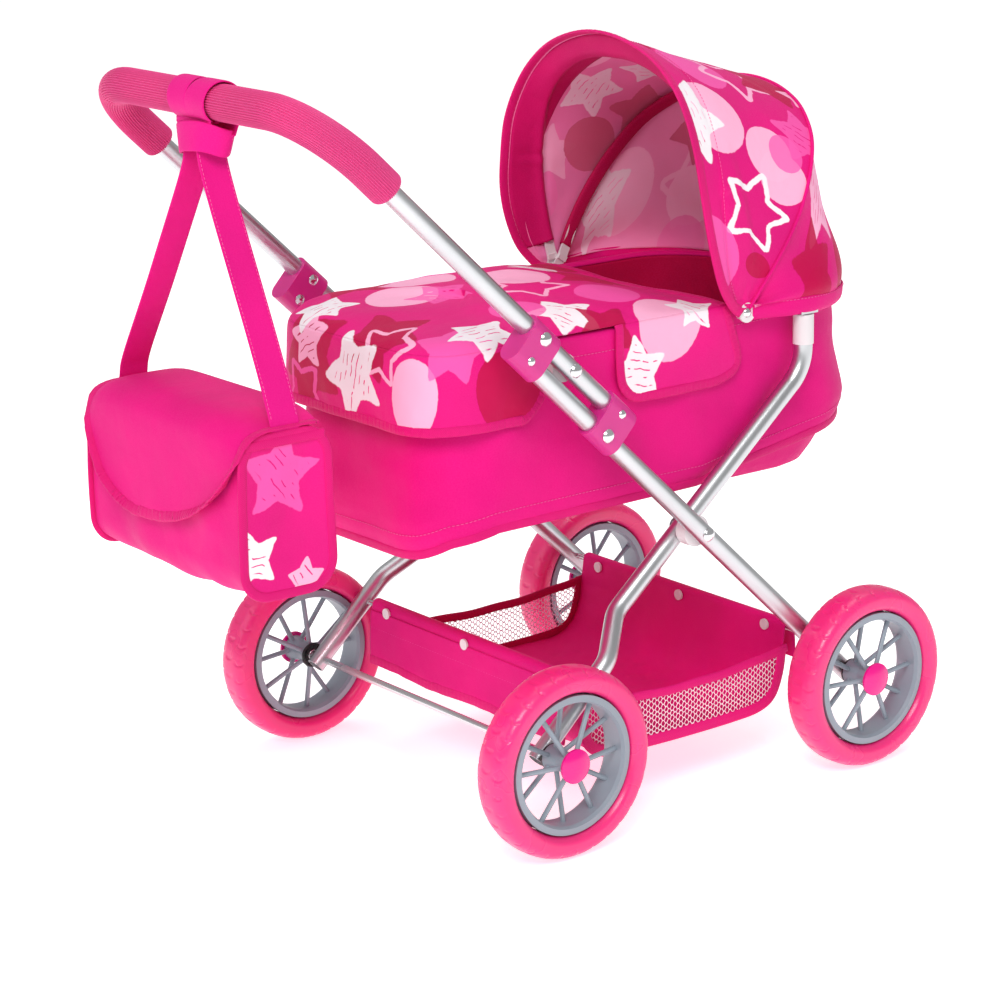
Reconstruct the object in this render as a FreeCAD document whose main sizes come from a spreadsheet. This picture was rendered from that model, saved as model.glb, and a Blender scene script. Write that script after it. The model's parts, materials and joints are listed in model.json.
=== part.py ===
"""Doll pram: a folding X frame on four spoked wheels, with a soft cot, a
folding hood, a cover, a shopping basket and a bag hung from the handle.

Axes: X is the way the pram travels, Y is left, Z is up.  Lengths are in
millimetres.  The design is drawn from a point on the floor midway between
the four wheels; every sub-part is then set frame_shift further along X, so
that the origin is under the middle of the whole object.
"""
import FreeCAD, Part
import math
import os
import Sketcher
from FreeCAD import Placement, Rotation, Vector

doc = FreeCAD.newDocument("DollPram")
sheet = doc.addObject("Spreadsheet::Sheet", "Sheet")

DIMENSIONS = [
    ("frame_shift", 78.35, "from the wheels' middle to the middle of the object"),
    # wheels
    ("wheel_dia", 150.0, "over the tread"),
    ("wheel_base", 314.0, "axle to axle"),
    ("wheel_track", 353.2, "middle to middle"),
    ("tyre_width", 32.0, ""),
    ("rim_dia", 110.0, "seat of the tyre"),
    ("rim_inner_dia", 97.0, ""),
    ("rim_width", 25.0, ""),
    ("hub_dia", 21.0, ""),
    ("hub_out", 13.0, "hub end outboard of the wheel's middle"),
    ("hub_in", 13.4, "hub end inboard of the wheel's middle"),
    ("spoke_dia", 4.0, ""),
    ("spoke_pairs", 6.0, "half the number of spokes"),
    ("hub_cap_dia", 27.0, ""),
    ("hub_cap_rise", 5.0, ""),
    ("axle_dia", 6.0, ""),
    ("axle_bore", 6.1, ""),
    # frame tubes
    ("tube_dia", 15.0, ""),
    ("tube_bore", 12.6, ""),
    ("cross_x", 4.5, "pivot where the legs cross"),
    ("cross_z", 219.4, ""),
    ("push_tilt", 46.55, "push tubes from upright"),
    ("push_half_width", 152.0, "middle of the push tubes"),
    ("tube_offset", 20.0, "handle tube above the leg tube"),
    ("leg_foot", 218.0, "leg below the crossing"),
    ("leg_top", 250.0, "leg above the crossing"),
    ("handle_foot", 131.0, "handle tube starts, above the crossing"),
    ("handle_top", 502.7, "handle bar, above the crossing"),
    ("handle_corner", 58.0, "bend radius"),
    ("grip_dia", 27.0, ""),
    ("grip_start", 422.0, "foam grip starts, above the crossing"),
    ("upper_bracket", 240.8, "above the crossing"),
    ("lower_bracket", 141.4, "above the crossing"),
    ("bracket_length", 30.0, "along the tubes"),
    ("bracket_wall", 2.6, ""),
    ("cot_pivot_up", 199.0, "above the crossing"),
    ("bolt_dia", 5.0, ""),
    ("bolt_bore", 5.1, ""),
    ("dome_dia", 11.0, "rivet heads"),
    ("dome_rise", 3.0, ""),
    ("rear_half_width", 126.0, "rear leg beside the cot"),
    ("rear_foot_half_width", 150.0, "rear leg at the axle"),
    ("rear_top_x", 134.0, ""),
    ("rear_top_z", 358.0, ""),
    ("clip_top_z", 372.3, ""),
    ("clip_dia", 16.8, ""),
    # cot
    ("cot_half_length", 221.0, ""),
    ("cot_rim_half_length", 207.0, ""),
    ("cot_half_width", 113.0, ""),
    ("cot_floor_z", 238.0, ""),
    ("cot_wall", 2.0, ""),
    ("rim_z", 381.0, ""),
    ("rim_rod", 8.0, ""),
    ("cover_front_x", 62.0, ""),
    ("cover_skirt_z", 326.0, ""),
    # hood
    ("hinge_x", 75.0, ""),
    ("front_lean", 9.0, "front bow towards the handle"),
    ("rear_lean", 33.0, "rear bow away from the handle"),
    ("front_rise", 215.0, "front bow's height from the hinge"),
    ("rear_rise", 195.0, "rear bow's height from the hinge"),
    ("bow_width", 9.0, ""),
    ("bow_thickness", 2.0, ""),
    # basket
    ("rod_dia", 5.0, ""),
    ("basket_floor_z", 47.0, ""),
    ("basket_half_width", 130.0, ""),
    ("snap_dia", 9.0, ""),
    # bag
    ("bag_depth", 78.0, ""),
    ("bag_width", 210.0, ""),
    ("bag_bottom_z", 228.0, ""),
    ("bag_top_z", 364.0, ""),
    ("bag_side", 8.0, "bag's middle, to the left"),
    ("strap_width", 25.0, ""),
]
for row, (alias, value, note) in enumerate(DIMENSIONS, start=1):
    sheet.set("A%d" % row, alias)
    sheet.set("B%d" % row, repr(value))
    sheet.set("C%d" % row, note)
    sheet.setAlias("B%d" % row, alias)
doc.recompute()

D = {alias: float(sheet.get(alias)) for alias, _, _ in DIMENSIONS}
PARTS = []
LEFT, RIGHT = 1, -1
SIDES = [("left", LEFT), ("right", RIGHT)]

AXLE_Z = D["wheel_dia"] / 2
TILT = math.radians(D["push_tilt"])
ALONG = Vector(-math.sin(TILT), 0, math.cos(TILT))   # up the push tubes
ACROSS = Vector(math.cos(TILT), 0, math.sin(TILT))   # from leg to handle tube
CROSS = Vector(D["cross_x"], 0, D["cross_z"])
PUSH_TURN = Rotation(Vector(0, 1, 0), -D["push_tilt"])
TUBE_R = D["tube_dia"] / 2


def on_push(up, over=0.0, y=0.0):
    """A point of the push frame: up its tubes, over from the leg tube."""
    return CROSS + ALONG * up + ACROSS * over + Vector(0, y, 0)


def place(obj, at, turn=Rotation()):
    """Set a sub-part at a point of the design."""
    obj.Placement = Placement(Vector(at) + Vector(D["frame_shift"], 0, 0), turn)


def keep(obj, label):
    """Name a finished sub-part; its label is its file's name."""
    obj.Label = label
    PARTS.append(obj)
    return obj


def feature(label, shape, at=Vector(0, 0, 0), turn=Rotation()):
    """A sub-part whose shape needs Part's own functions."""
    obj = doc.addObject("Part::Feature", label)
    obj.Shape = shape
    place(obj, at, turn)
    return keep(obj, label)


def plane_of(body, role):
    return next(f for f in body.Origin.OriginFeatures if f.Role == role)


def new_sketch(body, name, role="XY_Plane", offset=None):
    sketch = body.newObject("Sketcher::SketchObject", name)
    sketch.AttachmentSupport = [(plane_of(body, role), "")]
    sketch.MapMode = "FlatFace"
    if offset is not None:
        sketch.AttachmentOffset = Placement(offset, Rotation())
    return sketch


def draw_lines(sketch, points):
    """A closed outline of straight lines."""
    pts = [Vector(x, y, 0) for x, y in points]
    first = sketch.GeometryCount
    for a, b in zip(pts, pts[1:] + pts[:1]):
        sketch.addGeometry(Part.LineSegment(a, b), False)
    n = len(pts)
    for i in range(n):
        sketch.addConstraint(
            Sketcher.Constraint("Coincident", first + i, 2, first + (i + 1) % n, 1))


def draw_circle(sketch, x, y, alias):
    """A circle whose diameter is a cell of the sheet."""
    i = sketch.addGeometry(
        Part.Circle(Vector(x, y, 0), Vector(0, 0, 1), D[alias] / 2), False)
    c = sketch.addConstraint(Sketcher.Constraint("Diameter", i, D[alias]))
    sketch.setExpression("Constraints[%d]" % c, "Sheet.%s" % alias)
    return i


def revolve(body, sketch, axis="Y_Axis"):
    rev = body.newObject("PartDesign::Revolution", sketch.Name + "_turned")
    rev.Profile = sketch
    rev.ReferenceAxis = (plane_of(body, axis), [""])
    rev.Angle = 360.0
    sketch.Visibility = False
    return rev


def route(points, radii):
    """A wire of straight runs joined by tangent arcs at the inner points."""
    edges, start = [], points[0]
    for i in range(1, len(points) - 1):
        p, r = points[i], radii[i - 1]
        back = (points[i - 1] - p).normalize()
        on = (points[i + 1] - p).normalize()
        half = back.getAngle(on) / 2
        leg = r / math.tan(half)
        a, b = p + back * leg, p + on * leg
        middle = (back + on).normalize()
        centre = p + middle * (r / math.sin(half))
        edges.append(Part.LineSegment(start, a).toShape())
        edges.append(Part.Arc(a, centre - middle * r, b).toShape())
        start = b
    edges.append(Part.LineSegment(start, points[-1]).toShape())
    return Part.Wire(edges)


def swept(points, radii, radius):
    """A round bar of one radius along a route."""
    wire = route(points, radii)
    first = points[1] - points[0]
    ring = Part.Wire([Part.makeCircle(radius, points[0], first)])
    return wire.makePipeShell([ring], True, False)


def bent_tube(points, radii):
    """A tube of the frame's size along a route."""
    return swept(points, radii, TUBE_R).cut(
        swept(points, radii, D["tube_bore"] / 2))


def rod_y(radius, x, z, y0, y1):
    """A round solid along Y."""
    low, high = sorted((y0, y1))
    return Part.makeCylinder(radius, high - low, Vector(x, low, z), Vector(0, 1, 0))


def box(x0, x1, y0, y1, z0, z1):
    (x0, x1), (y0, y1), (z0, z1) = sorted((x0, x1)), sorted((y0, y1)), sorted((z0, z1))
    return Part.makeBox(x1 - x0, y1 - y0, z1 - z0, Vector(x0, y0, z0))


def dome(radius, rise, x, z, y, side):
    """A spherical cap that stands out along Y from the plane at y."""
    ball = (radius ** 2 + rise ** 2) / (2 * rise)
    sphere = Part.makeSphere(ball, Vector(x, y + side * (rise - ball), z))
    slab = box(x - radius - 1, x + radius + 1, y, y + side * (rise + 1),
               z - radius - 1, z + radius + 1)
    return sphere.common(slab)


# --------------------------------------------------------------- wheels
def make_tyre(label, at):
    """Soft ring: flat where it sits on the rim, rounded tread."""
    body = doc.addObject("PartDesign::Body", "Body_" + label)
    sketch = new_sketch(body, "TyreSection_" + label)
    r, w, s = D["wheel_dia"] / 2, D["tyre_width"] / 2, D["rim_dia"] / 2
    a, b, c, d = (Vector(s, -w + 4, 0), Vector(s + 7, -w, 0),
                  Vector(s + 10, -w, 0), Vector(s + 10, w, 0))
    e, f = Vector(s + 7, w, 0), Vector(s, w - 4, 0)
    sketch.addGeometry(Part.LineSegment(a, b), False)
    sketch.addGeometry(Part.LineSegment(b, c), False)
    sketch.addGeometry(Part.Arc(c, Vector(r, 0, 0), d), False)
    sketch.addGeometry(Part.LineSegment(d, e), False)
    sketch.addGeometry(Part.LineSegment(e, f), False)
    sketch.addGeometry(Part.LineSegment(f, a), False)
    revolve(body, sketch)
    place(body, at)
    return keep(body, label)


def make_rim(label, at, side):
    """Moulded rim ring, twelve round spokes in two rows, and the hub."""
    body = doc.addObject("PartDesign::Body", "Body_" + label)
    sketch = new_sketch(body, "RimSection_" + label)
    r1, r0, w = D["rim_dia"] / 2, D["rim_inner_dia"] / 2, D["rim_width"] / 2
    draw_lines(sketch, [(r0 + 1.5, -w), (r1 + 0.0, -w + 0.5), (r1, w - 0.5),
                        (r0 + 1.5, w), (r0, w - 3), (r0, -w + 3)])
    revolve(body, sketch)
    out, inn = side * D["hub_out"], -side * D["hub_in"]
    low, high = sorted((out, inn))
    hub = new_sketch(body, "HubSection_" + label)
    draw_lines(hub, [(D["axle_bore"] / 2, low), (D["hub_dia"] / 2, low),
                     (D["hub_dia"] / 2 - 2.5, (low + high) / 2),
                     (D["hub_dia"] / 2, high), (D["axle_bore"] / 2, high)])
    revolve(body, hub)
    for name, end_y, spin in (("Out", out - side * 3.5, 0.0),
                              ("In", inn + side * 3.5, 180.0 / D["spoke_pairs"])):
        start = Vector(D["hub_dia"] / 2 - 4.0, end_y, 0)
        stop = Vector(r0 + 2.0, side * 1.5 if name == "Out" else -side * 1.5, 0)
        way = stop - start
        bar = body.newObject("PartDesign::AdditiveCylinder", "Spoke%s_%s" % (name, label))
        bar.setExpression("Radius", "Sheet.spoke_dia / 2")
        bar.Height = way.Length
        turn = Rotation(Vector(0, 0, 1), way)
        about = Rotation(Vector(0, 1, 0), spin)
        bar.Placement = Placement(about.multVec(start), about.multiply(turn))
        ring = body.newObject("PartDesign::PolarPattern", "Spokes%s_%s" % (name, label))
        ring.Originals = [bar]
        ring.Axis = (plane_of(body, "Y_Axis"), [""])
        ring.Angle = 360.0
        ring.setExpression("Occurrences", "Sheet.spoke_pairs")
        body.Tip = ring
    place(body, at)
    return keep(body, label)


def make_hub_cap(label, at, side):
    """Domed cap over the hub's outer end."""
    body = doc.addObject("PartDesign::Body", "Body_" + label)
    sketch = new_sketch(body, "CapSection_" + label)
    r, rise = D["hub_cap_dia"] / 2, D["hub_cap_rise"] * 0.6
    foot = side * D["hub_out"]
    lip, top = foot + side * D["hub_cap_rise"] * 0.4, foot + side * D["hub_cap_rise"]
    ball = (r * r + rise * rise) / (2 * rise)
    half = math.asin(r / ball) / 2
    middle = Vector(ball * math.sin(half), top - side * ball * (1 - math.cos(half)), 0)
    sketch.addGeometry(Part.LineSegment(Vector(0, foot, 0), Vector(r, foot, 0)), False)
    sketch.addGeometry(Part.LineSegment(Vector(r, foot, 0), Vector(r, lip, 0)), False)
    sketch.addGeometry(Part.Arc(Vector(r, lip, 0), middle, Vector(0, top, 0)), False)
    sketch.addGeometry(Part.LineSegment(Vector(0, top, 0), Vector(0, foot, 0)), False)
    revolve(body, sketch)
    place(body, at)
    return keep(body, label)


for end, x in (("front", D["wheel_base"] / 2), ("rear", -D["wheel_base"] / 2)):
    for name, side in SIDES:
        at = Vector(x, side * D["wheel_track"] / 2, AXLE_Z)
        make_tyre("tyre_%s_%s" % (end, name), at)
        make_rim("rim_%s_%s" % (end, name), at, side)
        make_hub_cap("hub_cap_%s_%s" % (end, name), at, side)
        clip = doc.addObject("Part::Torus", "Clip_%s_%s" % (end, name))
        clip.setExpression("Radius1", "Sheet.axle_dia / 2 + 1")
        clip.Radius2 = 0.8
        place(clip, Vector(x, side * 161.6, AXLE_Z), Rotation(Vector(1, 0, 0), 90))
        keep(clip, "axle_clip_%s_%s" % (end, name))

for end, x in (("front", D["wheel_base"] / 2), ("rear", -D["wheel_base"] / 2)):
    axle = doc.addObject("Part::Cylinder", "Axle_" + end)
    axle.setExpression("Radius", "Sheet.axle_dia / 2")
    axle.setExpression("Height", "Sheet.wheel_track + 2 * Sheet.hub_out - 2")
    place(axle, Vector(x, D["wheel_track"] / 2 + D["hub_out"] - 1, AXLE_Z),
          Rotation(Vector(1, 0, 0), 90))
    keep(axle, end + "_axle")

# ----------------------------------------------------------- push frame
front_rod_up = -(D["cross_z"] - 113.0) / math.cos(TILT)
FRONT_ROD = on_push(front_rod_up)
for name, side in SIDES:
    y = side * D["push_half_width"]
    tube = doc.addObject("Part::Cylinder", "LegOuter_" + name)
    tube.setExpression("Radius", "Sheet.tube_dia / 2")
    tube.setExpression("Height", "Sheet.leg_foot + Sheet.leg_top")
    bore = doc.addObject("Part::Cylinder", "LegBore_" + name)
    bore.setExpression("Radius", "Sheet.tube_bore / 2")
    bore.setExpression("Height", "Sheet.leg_foot + Sheet.leg_top")
    hollow = doc.addObject("Part::Cut", "LegTube_" + name)
    hollow.Base, hollow.Tool = tube, bore
    holes = []
    for what, up, alias in (("axle", -210.0, "axle_bore"), ("cross", 0.0, "bolt_bore"),
                            ("low", D["lower_bracket"], "bolt_bore"),
                            ("top", D["upper_bracket"], "bolt_bore")):
        hole = doc.addObject("Part::Cylinder", "LegHole_%s_%s" % (what, name))
        hole.setExpression("Radius", "Sheet.%s / 2" % alias)
        hole.Height = 20.0
        hole.Placement = Placement(Vector(0, 10, up + D["leg_foot"]),
                                   Rotation(Vector(1, 0, 0), 90))
        holes.append(hole)
    rod_hole = doc.addObject("Part::Cylinder", "LegHole_rod_" + name)
    rod_hole.Radius = D["rod_dia"] / 2 + 0.05
    rod_hole.Height = 10.0
    rod_hole.Placement = Placement(Vector(0, 0 if side == RIGHT else -10, front_rod_up + D["leg_foot"]),
                                   Rotation(Vector(1, 0, 0), -90))
    holes.append(rod_hole)
    all_holes = doc.addObject("Part::MultiFuse", "LegHoles_" + name)
    all_holes.Shapes = holes
    leg = doc.addObject("Part::Cut", "Leg_" + name)
    leg.Base, leg.Tool = hollow, all_holes
    place(leg, on_push(-D["leg_foot"], 0, y), PUSH_TURN)
    keep(leg, "front_leg_" + name)

# handle: one tube bent into a U, with its foam grip over the top of it
over = D["tube_offset"]
w = D["push_half_width"]
u_route = [on_push(D["handle_foot"], over, -w), on_push(D["handle_top"], over, -w),
           on_push(D["handle_top"], over, w), on_push(D["handle_foot"], over, w)]
corner = D["handle_corner"]
handle = bent_tube(u_route, [corner, corner])
for side in (LEFT, RIGHT):
    for up in (D["lower_bracket"], D["cot_pivot_up"], D["upper_bracket"]):
        p = on_push(up, over)
        handle = handle.cut(rod_y(D["bolt_bore"] / 2, p.x, p.z, side * (w - 12), side * (w + 12)))
feature("handle_tube", handle)
grip_route = [on_push(D["grip_start"], over, -w)] + u_route[1:3] + [on_push(D["grip_start"], over, w)]
feature("foam_grip", swept(grip_route, [corner, corner], D["grip_dia"] / 2).cut(
    swept(grip_route, [corner, corner], TUBE_R + 0.05)))


def make_bracket(label, up, side, blind_on_leg):
    """Double sleeve that ties the handle tube to the leg tube."""
    body = doc.addObject("PartDesign::Body", "Body_" + label)
    out = new_sketch(body, "Outline_" + label)
    r = TUBE_R + D["bracket_wall"]
    gap = D["tube_offset"]
    out.addGeometry(Part.LineSegment(Vector(0, r, 0), Vector(gap, r, 0)), False)
    out.addGeometry(Part.Arc(Vector(gap, r, 0), Vector(gap + r, 0, 0), Vector(gap, -r, 0)), False)
    out.addGeometry(Part.LineSegment(Vector(gap, -r, 0), Vector(0, -r, 0)), False)
    out.addGeometry(Part.Arc(Vector(0, -r, 0), Vector(-r, 0, 0), Vector(0, r, 0)), False)
    pad = body.newObject("PartDesign::Pad", "Block_" + label)
    pad.Profile = out
    pad.setExpression("Length", "Sheet.bracket_length")
    doc.recompute()
    solid = pad.Shape.Volume
    for what, x, through in (("leg", 0.0, not blind_on_leg), ("handle", gap, blind_on_leg)):
        ring = new_sketch(body, "Sleeve_%s_%s" % (what, label))
        i = ring.addGeometry(Part.Circle(Vector(x, 0, 0), Vector(0, 0, 1), TUBE_R + 0.05), False)
        c = ring.addConstraint(Sketcher.Constraint("Diameter", i, 2 * TUBE_R + 0.1))
        ring.setExpression("Constraints[%d]" % c, "Sheet.tube_dia + 0.1")
        cut = body.newObject("PartDesign::Pocket", "Socket_%s_%s" % (what, label))
        cut.Profile = ring
        # a blind sleeve is closed at the end its tube does not reach
        if through:
            cut.Type = "ThroughAll"
            cut.Reversed = True
        elif blind_on_leg:
            cut.setExpression("Length", "Sheet.bracket_length - 3")
            cut.Reversed = True
        else:
            ring.AttachmentOffset = Placement(Vector(0, 0, 3.0), Rotation())
            cut.setExpression("Length", "Sheet.bracket_length")
            cut.Reversed = True
        doc.recompute()
        if cut.Shape.Volume > solid - 500:
            raise RuntimeError("no socket in " + label)
        solid = cut.Shape.Volume
    for what, x in (("leg", 0.0), ("handle", gap)):
        face = new_sketch(body, "Hole_%s_%s" % (what, label), "XZ_Plane")
        i = face.addGeometry(Part.Circle(Vector(x, D["bracket_length"] / 2, 0),
                                         Vector(0, 0, 1), D["bolt_bore"] / 2), False)
        cut = body.newObject("PartDesign::Pocket", "Bolt_%s_%s" % (what, label))
        cut.Profile = face
        cut.Type = "ThroughAll"
        cut.SideType = "Symmetric"
    place(body, on_push(up - D["bracket_length"] / 2, 0, side * D["push_half_width"]), PUSH_TURN)
    return keep(body, label)


rivets = []
for name, side in SIDES:
    make_bracket("upper_bracket_" + name, D["upper_bracket"], side, True)
    make_bracket("lower_bracket_" + name, D["lower_bracket"], side, False)
    outer = D["push_half_width"] + TUBE_R + D["bracket_wall"]
    inner = D["push_half_width"] - TUBE_R - D["bracket_wall"]
    for up, lateral, size in ((D["upper_bracket"], 0.0, 0.62), (D["upper_bracket"], over, 1.0),
                           (D["lower_bracket"], over, 0.62), (D["lower_bracket"], 0.0, 1.0)):
        p = on_push(up, lateral)
        pin = rod_y(D["bolt_dia"] / 2, p.x, p.z, side * inner, side * outer)
        head = dome(D["dome_dia"] / 2 * size, D["dome_rise"] * size, p.x, p.z, side * outer, side)
        back = dome(D["dome_dia"] / 2 * 0.8, 1.6, p.x, p.z, side * inner, -side)
        rivets.append(pin.fuse(head).fuse(back).removeSplitter())
feature("bracket_rivets", Part.makeCompound(rivets))

# pivots: a bolt with a domed head, and a plastic spacer between the tubes
bolts, spacers = [], []
cot_pivot = on_push(D["cot_pivot_up"], over)
for name, side in SIDES:
    outer = side * (D["push_half_width"] + TUBE_R)
    cross_in = side * (D["rear_half_width"] - TUBE_R - 0.4)
    bolt = rod_y(D["bolt_dia"] / 2, CROSS.x, CROSS.z, cross_in, outer)
    bolt = bolt.fuse(dome(D["dome_dia"] / 2, D["dome_rise"], CROSS.x, CROSS.z, outer, side))
    bolt = bolt.fuse(dome(D["dome_dia"] / 2, 2.0, CROSS.x, CROSS.z, cross_in, -side))
    bolts.append(bolt.removeSplitter())
    spacers.append(rod_y(12.5, CROSS.x, CROSS.z, side * (D["rear_half_width"] + TUBE_R + 0.4),
                         side * (D["push_half_width"] - TUBE_R)).cut(
        rod_y(D["bolt_bore"] / 2, CROSS.x, CROSS.z, 0, outer)))
    bolt = rod_y(D["bolt_dia"] / 2, cot_pivot.x, cot_pivot.z, side * 115.6, outer)
    bolt = bolt.fuse(dome(D["dome_dia"] / 2, D["dome_rise"], cot_pivot.x, cot_pivot.z, outer, side))
    bolts.append(bolt.removeSplitter())
    spacers.append(rod_y(11.0, cot_pivot.x, cot_pivot.z, side * 120.0,
                         side * (D["push_half_width"] - TUBE_R)).cut(
        rod_y(D["bolt_bore"] / 2, cot_pivot.x, cot_pivot.z, 0, outer)))
feature("pivot_bolts", Part.makeCompound(bolts))
feature("pivot_spacers", Part.makeCompound(spacers))

# ----------------------------------------------------------- rear frame
REAR_ROD = Vector(-111.0, 0, 117.1)
for name, side in SIDES:
    low, high = side * D["rear_foot_half_width"], side * D["rear_half_width"]
    axle = Vector(-D["wheel_base"] / 2, low, AXLE_Z)
    knee = Vector(-92, low, 134.5)
    start = axle + (axle - knee).normalize() * 8
    joggle = Vector(-64, high, 162.0)
    slope = (CROSS.z - joggle.z) / (CROSS.x - joggle.x)
    elbow = Vector(D["rear_top_x"], high, joggle.z + slope * (D["rear_top_x"] - joggle.x))
    top = Vector(D["rear_top_x"], high, D["rear_top_z"])
    tube = bent_tube([start, knee, joggle, elbow, top], [26.0, 26.0, 38.0])
    tube = tube.cut(rod_y(D["axle_bore"] / 2, axle.x, axle.z, low - 12, low + 12))
    tube = tube.cut(rod_y(D["bolt_bore"] / 2, CROSS.x, CROSS.z, high - 12, high + 12))
    tube = tube.cut(rod_y(D["rod_dia"] / 2 + 0.05, REAR_ROD.x, REAR_ROD.z, low, low - side * 12))
    feature("rear_leg_" + name, tube)
    cap = Part.makeCylinder(D["clip_dia"] / 2, D["clip_top_z"] - 348.0,
                            Vector(D["rear_top_x"], high, 348.0))
    cap = cap.cut(Part.makeCylinder(TUBE_R + 0.05, D["rear_top_z"] - 348.0 + 0.1,
                                    Vector(D["rear_top_x"], high, 348.0)))
    feature("leg_clip_" + name, cap)

for label, p, half in (("front_basket_rod", FRONT_ROD, 151.0), ("rear_basket_rod", REAR_ROD, 149.0)):
    rod = doc.addObject("Part::Cylinder", "Rod_" + label)
    rod.setExpression("Radius", "Sheet.rod_dia / 2")
    rod.Height = 2 * half
    place(rod, p + Vector(0, half, 0), Rotation(Vector(1, 0, 0), 90))
    keep(rod, label)


# ------------------------------------------------------------------ cot
def rounded(half_x, half_y, r, z, mid_x=0.0):
    """A level rounded rectangle, as a wire."""
    x0, x1, y0, y1 = mid_x - half_x, mid_x + half_x, -half_y, half_y
    k = r * (1 - math.sqrt(0.5))
    e = []
    for (ax, ay), (mx, my), (bx, by), (cx, cy) in (
            ((x1 - r, y0), (x1 - k, y0 + k), (x1, y0 + r), (x1, y1 - r)),
            ((x1, y1 - r), (x1 - k, y1 - k), (x1 - r, y1), (x0 + r, y1)),
            ((x0 + r, y1), (x0 + k, y1 - k), (x0, y1 - r), (x0, y0 + r)),
            ((x0, y0 + r), (x0 + k, y0 + k), (x0 + r, y0), (x1 - r, y0))):
        a, m, b, c = (Vector(ax, ay, z), Vector(mx, my, z), Vector(bx, by, z), Vector(cx, cy, z))
        e.append(Part.Arc(a, m, b).toShape())
        e.append(Part.LineSegment(b, c).toShape())
    return Part.Wire(e)


def tub(grow, floor, top):
    """The cot's outline, grown by a length: floor, belly and rim sections."""
    cw, cl, rl = D["cot_half_width"] + grow, D["cot_half_length"] + grow, D["cot_rim_half_length"] + grow
    return Part.makeLoft([rounded(cl - 17, cw - 12, 48 + grow, floor),
                          rounded(cl, cw, 62 + grow, 296.0),
                          rounded(rl, cw - 1, 62 + grow, top)], True, True)


rim_low = D["rim_z"] - D["rim_rod"] / 2
shell = tub(0.0, D["cot_floor_z"], rim_low)
hollow = tub(-D["cot_wall"], D["cot_floor_z"] + D["cot_wall"], rim_low + 0.01)
feature("cot_shell", shell.cut(hollow).cut(box(-300, 300, -200, 200, rim_low - 0.001, rim_low + 5)))
board = Part.Face(rounded(186, 90, 34, D["cot_floor_z"] + 4)).extrude(Vector(0, 0, 4))
feature("base_board", board)

rim_half_w = D["cot_half_width"] + 2 - D["rim_rod"] / 2
loop = rounded(D["cot_rim_half_length"] + 1, rim_half_w, 62.0, D["rim_z"])
ring = Part.Wire([Part.makeCircle(D["rim_rod"] / 2, Vector(0, rim_half_w, D["rim_z"]), Vector(1, 0, 0))])
start_edges = Part.sortEdges(loop.Edges)[0]
rim = Part.Wire(start_edges).makePipeShell(
    [Part.Wire([Part.makeCircle(D["rim_rod"] / 2, start_edges[0].valueAt(start_edges[0].FirstParameter),
                                start_edges[0].tangentAt(start_edges[0].FirstParameter))])], True, False)
for side in (LEFT, RIGHT):
    lug = box(cot_pivot.x - 9, cot_pivot.x + 9, side * 115.5, side * 119.5, cot_pivot.z - 9, D["rim_z"] + 2)
    arm = box(cot_pivot.x - 9, cot_pivot.x + 9, side * 111.0, side * 119.5, rim_low + 1.0, D["rim_z"] + 2)
    lug = lug.fuse(arm).cut(rod_y(D["bolt_bore"] / 2, cot_pivot.x, cot_pivot.z, side * 110, side * 122))
    tab = box(D["rear_top_x"] - 9, D["rear_top_x"] + 9, side * 113.5, side * 133.5,
              D["clip_top_z"] + 1.0, D["rim_z"])
    rim = rim.fuse(lug).fuse(tab)
feature("rim_frame", rim.removeSplitter())

# cover: a padded panel over the foot half, with a skirt outside the rim
front = D["cover_front_x"]
cover_out = Part.Face(rounded(D["cot_rim_half_length"] + 8, D["cot_half_width"] + 3.6, 66, D["cover_skirt_z"])
                      ).extrude(Vector(0, 0, 398 - D["cover_skirt_z"]))
cover_in = Part.Face(rounded(D["cot_rim_half_length"] + 6, D["cot_half_width"] + 2.2, 64, D["cover_skirt_z"])
                     ).extrude(Vector(0, 0, 386 - D["cover_skirt_z"]))
belly = tub(0.6, D["cot_floor_z"], rim_low)
cover = cover_out.cut(cover_in).cut(belly).cut(box(front, 400, -200, 200, 300, 420))
for side in (LEFT, RIGHT):
    cover = cover.cut(box(cot_pivot.x - 16, cot_pivot.x + 19, side * 108, side * 130, 300, 386))
feature("cot_cover", max(cover.Solids, key=lambda s: s.Volume))

# ----------------------------------------------------------------- hood
HINGE = Vector(D["hinge_x"], 0, D["rim_z"])


def arch(grow, base, rise):
    """Edges of a bow's arch in its own plane: Y across, Z up from the hinge."""
    g, k = grow, rise / 206.0
    p = [Vector(0, 119.5 + g, base), Vector(0, 126.5 + g, 50 * k), Vector(0, 121.5 + g, 108 * k),
         Vector(0, 101 + 0.8 * g, 158 * k + 0.6 * g), Vector(0, 62 + 0.5 * g, 192 * k + 0.9 * g),
         Vector(0, 0, rise + g)]
    m = [Vector(0, -q.y, q.z) for q in p]
    return [Part.LineSegment(p[0], p[1]).toShape(),
            Part.Arc(p[1], p[2], p[3]).toShape(),
            Part.Arc(p[3], p[4], p[5]).toShape(),
            Part.Arc(p[5], m[4], m[3]).toShape(),
            Part.Arc(m[3], m[2], m[1]).toShape(),
            Part.LineSegment(m[1], m[0]).toShape()], m[0], p[0]


def arch_wire(grow, base, rise):
    """The arch closed by a line across its foot."""
    edges, a, b = arch(grow, base, rise)
    return Part.Wire(edges + [Part.LineSegment(a, b).toShape()])


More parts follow.
